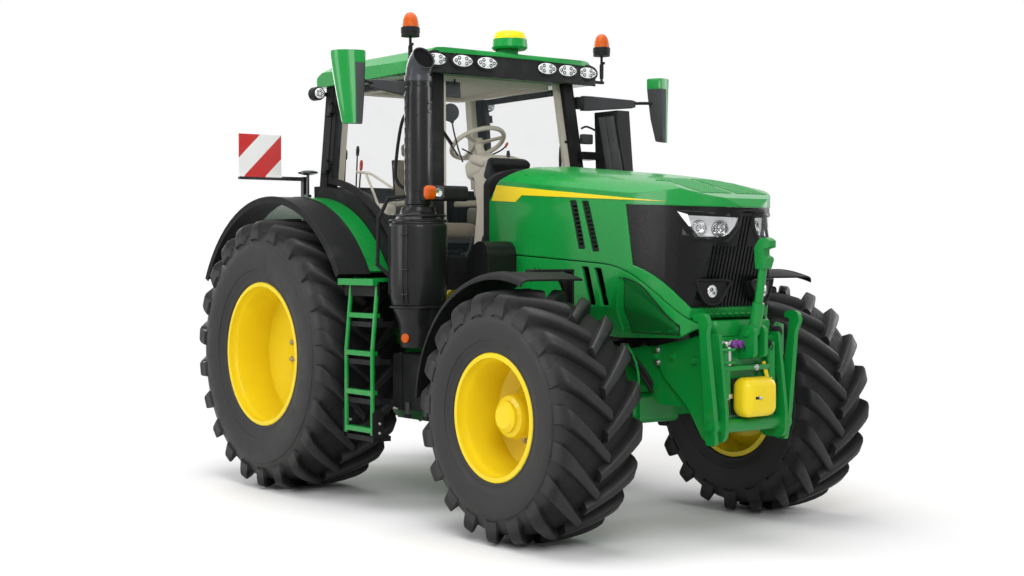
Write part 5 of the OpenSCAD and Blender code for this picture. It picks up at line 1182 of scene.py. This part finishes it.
couplings.blocks(yellow_paint, (at(3.800, 0.135, 1.055), (0.012, 0.030, 0.12), 0.004, (12, -8, 0)))
couplings.done("linkage_fittings", "chassis", "green_paint")

guard_low, guard_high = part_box("pto_guard")
shaft_cap = Form(yellow_paint, black_plastic)
shaft_cap.add(block((guard_low + guard_high) / 2, guard_high - guard_low, 0.062, steps=7))
shaft_cap.blocks(black_plastic, (at(3.772, 0, 0.905), (0.018, 0.262, 0.222), 0.008))
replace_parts(shaft_cap.done("shaft_cap", "chassis", "yellow_paint"), "pto_guard")

# Hoses and lines between the engine and the front axle on both sides, and the steering ram

ENGINE_LINE = [(2.42, 0.26, 1.10), (2.75, 0.30, 1.13), (3.02, 0.31, 1.10), (3.16, 0.30, 1.00),
               (3.22, 0.27, 0.90)]
# The engine's lines: height above the lowest one, radius
ENGINE_LINES = ((0, 0.011), (0.03, 0.009), (0.055, 0.012))
BRAKE_LINE = [(3.01, 0.29, 1.19), (3.12, 0.32, 1.09), (3.17, 0.34, 0.97), (3.12, 0.33, 0.88),
              (3.02, 0.30, 0.86)]
KNUCKLE_LINE = [(2.62, 0.27, 1.05), (2.74, 0.42, 1.02), (2.80, 0.55, 0.96), (2.82, 0.60, 0.91)]
STEERING_RAM = at(2.770, 0, 0.865)
RAM_BARREL = [(0, -0.30), (0.036, -0.30), (0.038, -0.27), (0.038, 0.27), (0.036, 0.30), (0, 0.30)]
STEERING_ROD = [(0, -0.52), (0.017, -0.52), (0.017, 0.52), (0, 0.52)]
lines = Form(black_plastic, chassis_green, steel)
for hand in SIDES.values():
    for rise, radius in ENGINE_LINES:
        lines.add(hose([q + UP * rise for q in route(ENGINE_LINE, hand)], radius))
    lines.bars(chassis_green, (BRAKE_LINE, 0.009), hand=hand)
    lines.bars(black_plastic, (KNUCKLE_LINE, 0.010), hand=hand)
    for x in (2.60, 2.95):
        lines.blocks(steel, (at(x, hand * 0.262, 1.15), (0.03, 0.05, 0.10), 0.005))
lines.add(turned(RAM_BARREL, STEERING_RAM, LEFT, 28), chassis_green)
lines.add(turned(STEERING_ROD, STEERING_RAM, LEFT, 20), steel)
lines.done("front_hoses", "chassis", "black_plastic")

# Seat

PAD_VOXEL = 0.010
PAD_SWELL = 0.016
PAD_FRAMES = 20
PAD_PRESSURE = 4
SEAT_LEAN = (0, -6, 0)
# The pads behind the driver: centre, size, softness
BACK_PADS = {"seat_backrest": (at(0.238, 0, 2.270), (0.105, 0.46, 0.50), 0.042),
             "seat_headrest": (at(0.196, 0, 2.585), (0.075, 0.27, 0.105), 0.030)}


def baked(piece):
    """The piece's mesh with its modifiers worked in."""
    return bpy.data.meshes.new_from_object(piece.evaluated_get(bpy.context.evaluated_depsgraph_get()))


def cushion(name, centre, size, soft, turn=LEVEL):
    """A stuffed pad: a rounded block that is remeshed and swollen as cloth under pressure."""
    pad = Form(seat_cloth).add(block(centre, size, soft, turn, 4)).done(name, "chassis", "beige_trim", 60)
    even = pad.modifiers.new("even", "REMESH")
    even.mode = "VOXEL"
    even.voxel_size = PAD_VOXEL
    pad.data = baked(pad)
    pad.modifiers.clear()
    before = [v.co.copy() for v in pad.data.vertices]
    stuffing = pad.modifiers.new("stuffing", "CLOTH")
    stuffing.settings.use_pressure = True
    stuffing.settings.uniform_pressure_force = PAD_PRESSURE
    stuffing.settings.effector_weights.gravity = 0
    stuffing.point_cache.frame_start = 1
    stuffing.point_cache.frame_end = PAD_FRAMES
    for count in range(1, PAD_FRAMES + 1):
        bpy.context.scene.frame_set(count)
    swollen = baked(pad)
    pad.modifiers.clear()
    bpy.context.scene.frame_set(1)
    for vertex, start in zip(swollen.vertices, before):
        move = vertex.co - start
        vertex.co = start + move * min(1, PAD_SWELL / max(move.length, 1e-6))
    pad.data = swollen
    swollen.materials.clear()
    swollen.materials.append(seat_cloth)
    swollen.polygons.foreach_set("use_smooth", [True] * len(swollen.polygons))
    return pad


seat_pad = cushion("seat_cushion", at(0.505, 0, 1.945), (0.49, 0.47, 0.10), 0.040)
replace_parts(seat_pad, "seat")
for name, (centre, size, soft) in BACK_PADS.items():
    cushion(name, centre, size, soft, SEAT_LEAN)

ARMREST_TILT, SCREEN_TURN = (0, -3, 0), (0, -12, 24)
BELLOWS, BELLOWS_PITCH = 6, 0.040
DRIVE_LEVER = [(0.66, -0.315, 2.18), (0.672, -0.315, 2.23), (0.664, -0.318, 2.265)]
LEVER_KNOB = [(0, 0), (0.022, 0.004), (0.026, 0.03), (0.018, 0.055), (0, 0.06)]
SCREEN_ARM = [(0.70, -0.33, 2.16), (0.76, -0.36, 2.18), (0.81, -0.388, 2.24)]
seat_frame = Form(black_plastic, beige_trim, grey_plastic, steel)
for i in range(BELLOWS):
    wide = 0.30 + 0.02 * (i % 2)
    seat_frame.add(block(at(0.48, 0, 1.628 + i * BELLOWS_PITCH), (wide, wide, 0.036), 0.012))
seat_frame.blocks(black_plastic, (at(0.168, 0, 2.28), (0.020, 0.40, 0.46), 0.010, SEAT_LEAN),
                  (at(0.30, 0.285, 2.08), (0.05, 0.03, 0.15), 0.008),
                  (at(0.56, -0.330, 2.182), (0.22, 0.09, 0.016), 0.006, ARMREST_TILT),
                  (at(0.34, -0.30, 2.06), (0.06, 0.05, 0.16), 0.010),
                  (at(0.80, -0.385, 2.285), (0.022, 0.24, 0.17), 0.010, SCREEN_TURN, 3))
seat_frame.blocks(beige_trim, (at(0.47, 0.292, 2.165), (0.30, 0.055, 0.050), 0.020, LEVEL, 4),
                  (at(0.50, -0.315, 2.150), (0.46, 0.13, 0.055), 0.022, ARMREST_TILT, 4))
seat_frame.blocks(grey_plastic, (at(0.50, 0, 1.868), (0.42, 0.42, 0.034), 0.010),
                  (at(0.788, -0.380, 2.287), (0.004, 0.21, 0.14), 0.001, SCREEN_TURN))
for y in (-0.07, 0.07):
    seat_frame.bars(steel, ([(0.205, y, 2.50), (0.200, y, 2.56)], 0.007, 8, 1))
seat_frame.bars(black_plastic, (DRIVE_LEVER, 0.013, 12), (SCREEN_ARM, 0.012))
seat_frame.add(turned(LEVER_KNOB, at(0.663, -0.318, 2.25), (-0.1, 0, 1), 20), grey_plastic)
seat_frame.done("seat_frame", "chassis", "black_plastic")

# Dash, levers, pedals, inner mirror and handles

DIAL = [(0.032, 0), (0.034, 0.006), (0.030, 0.008), (0.026, 0.003), (0, 0.003)]
STALK_TIP = [(0, 0), (0.009, 0.002), (0.010, 0.03), (0.006, 0.042), (0, 0.044)]
DASH_KNOB = [(0.012, 0), (0.015, 0.02), (0.010, 0.05), (0, 0.052)]
STALKS = ([(1.06, 0.06, 2.50), (1.09, 0.15, 2.545), (1.10, 0.19, 2.575)],
          [(1.06, -0.06, 2.50), (1.08, -0.15, 2.53), (1.09, -0.20, 2.545)])
# Levers on the right console: place along and across, height of the top, finish of the grip
LEVERS = ((0.03, -0.570, 2.53, black_plastic), (0.21, -0.575, 2.55, black_plastic),
          (0.26, -0.575, 2.44, red_lens))
LEVER_GRIP = [(0, 0), (0.012, 0.004), (0.014, 0.05), (0.009, 0.075), (0, 0.078)]
# Pedals: place across, width
PEDALS = ((-0.16, 0.075), (-0.26, 0.07), (0.20, 0.075))
INNER_MIRROR = [(0, 0), (0.060, 0.0), (0.066, 0.006), (0.066, 0.014), (0.055, 0.018), (0, 0.022)]
MIRROR_STEM = [(1.262, -0.415, 2.72), (1.268, -0.40, 2.64), (1.300, -0.385, 2.52), (1.345, -0.38, 2.43)]
STEM_COLLAR = [(0.013, -0.006), (0.016, 0.0), (0.013, 0.006)]
DISPLAY_POST = [(1.275, -0.40, 3.03), (1.272, -0.40, 2.97)]
GRAB_HANDLE = [(1.360, 0.575, 2.62), (1.325, 0.545, 2.57), (1.335, 0.545, 2.30), (1.385, 0.58, 2.22)]
CONSOLE_RAIL = [(0.30, -0.62, 2.395), (0.41, -0.62, 2.385), (0.52, -0.62, 2.365), (0.80, -0.62, 2.253)]
RAIL_STAY = [(0.436, -0.62, 2.37), (0.53, -0.62, 2.24), (0.629, -0.62, 2.09)]

controls = Form(black_plastic, beige_trim, grey_plastic, amber_lens, red_lens, steel)
controls.blocks(beige_trim, (at(1.225, 0.02, 2.455), (0.17, 0.40, 0.075), 0.030, (0, 14, 0), 4),
                (at(1.075, 0, 2.46), (0.14, 0.15, 0.10), 0.035, (0, -30, 0), 4),
                (at(1.135, 0, 2.30), (0.10, 0.17, 0.26), 0.040, (0, 22, 0), 4),
                (at(1.150, -0.01, 2.405), (0.22, 0.30, 0.15), 0.050, (0, -14, 0), 5),
                (at(1.245, -0.01, 2.080), (0.17, 0.27, 0.62), 0.060, (0, -8, 0), 5),
                (at(0.42, -0.585, 2.08), (0.62, 0.10, 0.16), 0.030, (0, 4, 0), 4),
                (at(0.42, 0.585, 2.06), (0.62, 0.09, 0.14), 0.030, (0, 4, 0), 4))
controls.blocks(black_plastic, (at(1.345, 0.02, 2.385), (0.10, 0.36, 0.17), 0.035, (0, 24, 0), 4))
controls.blocks(grey_plastic, (at(1.130, 0.0, 2.442), (0.010, 0.26, 0.072), 0.003, (0, -35, 0)),
                (at(1.268, -0.440, 2.952), (0.022, 0.185, 0.115), 0.010, (0, -6, 0), 3))
for y in (-0.07, 0.07):
    controls.add(turned(DIAL, at(1.122, y, 2.447), (-0.82, 0, 0.57), 24), steel)
for stalk in STALKS:
    controls.bars(black_plastic, (stalk, 0.006, 8))
controls.add(turned(STALK_TIP, at(1.10, 0.19, 2.572), (0.1, 0.5, 0.85), 14), amber_lens)
controls.add(turned(DASH_KNOB, at(1.255, 0.10, 2.485), UP, 14))
for x, y, top, finish in LEVERS:
    controls.bars(black_plastic, ([(x, y, 2.16), (x + 0.01, y, 2.30), (x + 0.03, y, top)], 0.006, 8))
    controls.add(turned(LEVER_GRIP, at(x + 0.03, y, top - 0.03), (0.1, 0, 1), 14), finish)
for y, wide in PEDALS:
    controls.blocks(black_plastic, (at(1.19, y, 1.735), (0.020, wide, 0.10), 0.006, (0, 35, 0)))
    controls.bars(grey_plastic, ([(1.20, y, 1.74), (1.26, y, 1.80), (1.30, y, 1.90)], 0.010, 8))
controls.add(turned(INNER_MIRROR, at(1.255, -0.420, 2.788), (-1, 0.25, 0.1), 36), grey_plastic)
controls.bars(black_plastic, (MIRROR_STEM, 0.006, 8), (DISPLAY_POST, 0.006, 8, 2))
controls.add(turned(STEM_COLLAR, at(*MIRROR_STEM[0]), UP, 16))
for hand in SIDES.values():
    controls.bars(black_plastic, (GRAB_HANDLE, 0.011), hand=hand)
controls.bars(beige_trim, (CONSOLE_RAIL, 0.010), (RAIL_STAY, 0.010))
controls.done("cab_controls", "chassis", "beige_trim")

# Short wiper by the right pillar

WIPER_Y, WIPER_Z = -0.615, 2.700
# Its arm and blade: place across, height, lift off the glass
WIPER_ARM = [(WIPER_Y, WIPER_Z, 0.016), (-0.56, 2.625, 0.022), (-0.50, 2.55, 0.018)]
WIPER_BLADE = [(-0.585, 2.655, 0.009), (-0.54, 2.59, 0.010), (-0.45, 2.47, 0.009)]
WIPER_HUB = [(0.022, 0), (0.022, 0.018), (0.012, 0.026), (0, 0.026)]
screen_low, screen_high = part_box("windscreen")
rake = (screen_low.x - screen_high.x) / (screen_high.z - screen_low.z)


def on_screen(y, z, lift):
    """A point just outside the raked windscreen."""
    return Vector((screen_high.x + rake * (z - screen_low.z) + lift, y, z))


wiper = Form(black_plastic, grey_plastic)
wiper.add(turned(WIPER_HUB, on_screen(WIPER_Y, WIPER_Z, -0.004), (1, 0, 0.12), 20))
wiper.add(hose([on_screen(*q) for q in WIPER_ARM], 0.008, 8))
wiper.add(hose([on_screen(*q) for q in WIPER_BLADE], 0.007, 8), grey_plastic)
wiper.done("windscreen_wiper", "chassis", "black_plastic")

# Doors and ladder

DOOR_RAIL = [(1.300, 0.668, 2.835), (1.190, 0.722, 2.800), (1.135, 0.765, 2.70), (1.095, 0.790, 2.40),
             (1.110, 0.785, 2.285), (1.180, 0.750, 2.230), (1.300, 0.712, 2.215)]
for side, hand in SIDES.items():
    rail = Form(black_plastic)
    rail.bars(black_plastic, (DOOR_RAIL, 0.012), hand=hand)
    rail.done("door_rail_" + side, "door_" + side, "black_plastic")

LADDER_FOOT = [(-1.212, 0.512), (-1.125, 0.512), (-1.125, 0.680), (-1.145, 0.700), (-1.195, 0.700),
               (-1.212, 0.682)]
ladder_feet = Form(black_plastic, steel)
for hand in SIDES.values():
    for x in (1.068, 1.447):
        ladder_feet.add(plate(LADDER_FOOT[::hand], 0.010, at(x, 0, 0), LEFT * -hand))
        for z in (0.545, 0.610):
            ladder_feet.bolt(at(x + 0.001, hand * 1.155, z), FORWARD, 0.012, steel)
ladder_feet.done("ladder_feet", "chassis", "black_plastic")

# Rear end and tanks

gear_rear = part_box("transmission")[0].x
CAP_TINTS = (red_lens, grey_plastic, black_plastic)
COUPLING_COLUMNS, COUPLING_PITCH, COUPLING_FIRST = 6, 0.09, -0.225
COUPLING_ROWS = (1.345, 1.285)
REAR_COUPLING = [(0.021, 0), (0.021, 0.014), (0.017, 0.016), (0.017, 0.030), (0, 0.030)]
REAR_CAP = [(0.019, 0.018), (0.021, 0.022), (0.021, 0.040), (0.014, 0.046), (0, 0.046)]
REAR_SOCKET = [(0.040, 0), (0.040, 0.012), (0.034, 0.014), (0.034, 0.035), (0, 0.038)]
# Rear hoses: distance ahead of the gearbox's back, place across, height
REAR_HOSE = [(0, 0.30, 1.36), (-0.10, 0.33, 1.30), (-0.08, 0.35, 1.10), (0.04, 0.34, 1.0)]
rear_kit = Form(black_plastic, steel, red_lens, grey_plastic, chassis_green)
rear_kit.blocks(chassis_green, (Vector((gear_rear - 0.028, 0, 1.315)), (0.05, 0.56, 0.13), 0.008))
for i in range(COUPLING_COLUMNS):
    for row, z in enumerate(COUPLING_ROWS):
        spot = Vector((gear_rear - 0.052, COUPLING_FIRST + COUPLING_PITCH * i, z))
        rear_kit.add(turned(REAR_COUPLING, spot, -FORWARD, 20), steel)
        rear_kit.add(turned(REAR_CAP, spot, -FORWARD, 20), CAP_TINTS[(i + row) % len(CAP_TINTS)])
for hand in SIDES.values():
    rear_kit.add(hose([Vector((gear_rear + x, hand * y, z)) for x, y, z in REAR_HOSE], 0.011))
rear_kit.add(turned(REAR_SOCKET, Vector((gear_rear, 0.20, 1.18)), -FORWARD, 28))
rear_kit.done("rear_couplings", "chassis", "black_plastic")

REAR_LAMPS, REAR_LAMP_Z = (-0.58, -0.36, 0.36, 0.58), 3.095
REAR_LAMP_BACK, REAR_LAMP_FACE = 0.008, 0.0095
roof_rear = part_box("cab_roof")[0].x
rear_lights = Form(black_plastic, chrome, gloss_black)
for y in REAR_LAMPS:
    back, face = [Vector((roof_rear - out, y, REAR_LAMP_Z)) for out in (REAR_LAMP_BACK, REAR_LAMP_FACE)]
    rear_lights.add(plate(oval(0.082, 0.050), 0.030, back, -LEFT, UP, 0.006))
    rear_lights.add(plate(oval(0.070, 0.040), 0.003, face, -LEFT, UP, 0.001), chrome)
    for a, b, r in OVAL_CELLS:
        cup = [(r, 0), (r, 0.005), (r * 0.6, 0.001), (0, 0.001)]
        rear_lights.add(turned(cup, face + Vector((0, a * 0.068, b * 0.040)), -FORWARD, 14), gloss_black)
rear_lights.done("rear_roof_lights", "chassis", "clear_lens")

# The clips on the tanks' outer faces: places across
TANK_CLIPS = (1.029, -0.962)
tank_fittings = Form(black_plastic, grey_plastic)
for y in TANK_CLIPS:
    for x in (1.50, 1.72):
        tank_fittings.blocks(grey_plastic, (at(x, y, 0.70), (0.045, 0.012, 0.10), 0.004))
        tank_fittings.blocks(black_plastic, (at(x, y, 0.655), (0.060, 0.020, 0.030), 0.006))
tank_fittings.done("tank_clips", "chassis", "black_plastic")

# Studio

# Lamps: place, aim, width, power
STUDIO_LAMPS = {"overhead": ((0.5, -1.0, 7.5), (0.3, 0, 1.2), 7.0, 420),
                "front_key": ((7.5, -5.0, 5.2), (1.0, -0.4, 1.4), 4.5, 360),
                "side_fill": ((-2.5, -8.5, 3.6), (0.0, 0, 1.4), 4.5, 240),
                "far_fill": ((2.5, 8.5, 4.2), (0.0, 0, 1.4), 4.5, 220),
                "rear_fill": ((-8.0, 0.5, 4.2), (0.0, 0, 1.6), 4.5, 220)}
# The camera: place, lens and sensor in millimetres, degrees below level and round from ahead
CAMERA_PLACE = at(10.383, -6.919, 1.768)
CAMERA_LENS, CAMERA_SENSOR = 54.605, 36
CAMERA_DIP, CAMERA_ROUND = 1.239, 142.303
ROOM_LIGHT, FLOOR_SIZE = 0.42, 45
FLOOR_NEAR, FLOOR_FAR = 2.6, 5.2


def rays(wire, *kinds):
    """1 for rays of any of the kinds, such as Glossy."""
    found = [wire.node("LightPath", out=f"Is {kind} Ray") for kind in kinds]
    mask = found[0]
    for other in found[1:]:
        mask = wire.math("MAXIMUM", mask, other)
    return mask


def white_room(scene):
    """A white world, softer as a light than it looks."""
    world = bpy.data.worlds.new("white_room")
    scene.world = world
    world.use_nodes = True
    world.node_tree.nodes.clear()
    wire = Wire(world.node_tree)
    seen = rays(wire, "Camera", "Glossy", "Transmission")
    glow = {"Color": (1, 1, 1, 1), "Strength": ROOM_LIGHT + seen * (1 - ROOM_LIGHT)}
    wire.node("OutputWorld", {"Surface": wire.node("Background", glow)})


def pale_floor(scene):
    """A pale floor that keeps the shadow and fades into the white further out."""
    bm = bmesh.new()
    bmesh.ops.create_grid(bm, x_segments=8, y_segments=8, size=FLOOR_SIZE)
    mesh = bpy.data.meshes.new("studio_floor")
    bm.to_mesh(mesh)
    bm.free()
    floor = bpy.data.objects.new("studio_floor", mesh)
    scene.collection.objects.link(floor)
    pale = Finish("studio_floor", Base_Color=(0.86, 0.86, 0.86), Roughness=0.9)
    centre = pale.wire.node("VectorMath", {0: pale.place()}, out="Value", operation="LENGTH")
    white = centre.fade(FLOOR_NEAR, FLOOR_FAR) * rays(pale.wire, "Camera", "Glossy")
    glow = pale.wire.node("Emission", {"Color": (1, 1, 1, 1), "Strength": 1.0})
    lit = Wire(pale.tree, pale.shader.outputs[0])
    mixed = pale.wire.node("MixShader", {0: white, 1: lit, 2: glow})
    pale.tree.links.new(mixed.socket, pale.tree.nodes["Material Output"].inputs["Surface"])
    mesh.materials.append(pale.material)


def studio():
    """The room, its floor, soft overhead light with a wide key from the front right, and the camera."""
    scene = bpy.context.scene
    scene.view_settings.view_transform = "Standard"
    white_room(scene)
    pale_floor(scene)
    for name, (place, aim, size, power) in STUDIO_LAMPS.items():
        lamp = bpy.data.lights.new(name, "AREA")
        lamp.shape = "DISK"
        lamp.size = size
        lamp.energy = power
        holder = bpy.data.objects.new(name, lamp)
        holder.location = place
        holder.rotation_euler = (Vector(aim) - Vector(place)).to_track_quat("-Z", "Y").to_euler()
        scene.collection.objects.link(holder)
    camera = bpy.data.cameras.new("photo_view")
    camera.sensor_width = CAMERA_SENSOR
    camera.lens = CAMERA_LENS
    holder = bpy.data.objects.new("photo_view", camera)
    holder.location = CAMERA_PLACE
    holder.rotation_euler = (math.radians(90 - CAMERA_DIP), 0, math.radians(CAMERA_ROUND - 90))
    scene.collection.objects.link(holder)
    scene.camera = holder


studio()
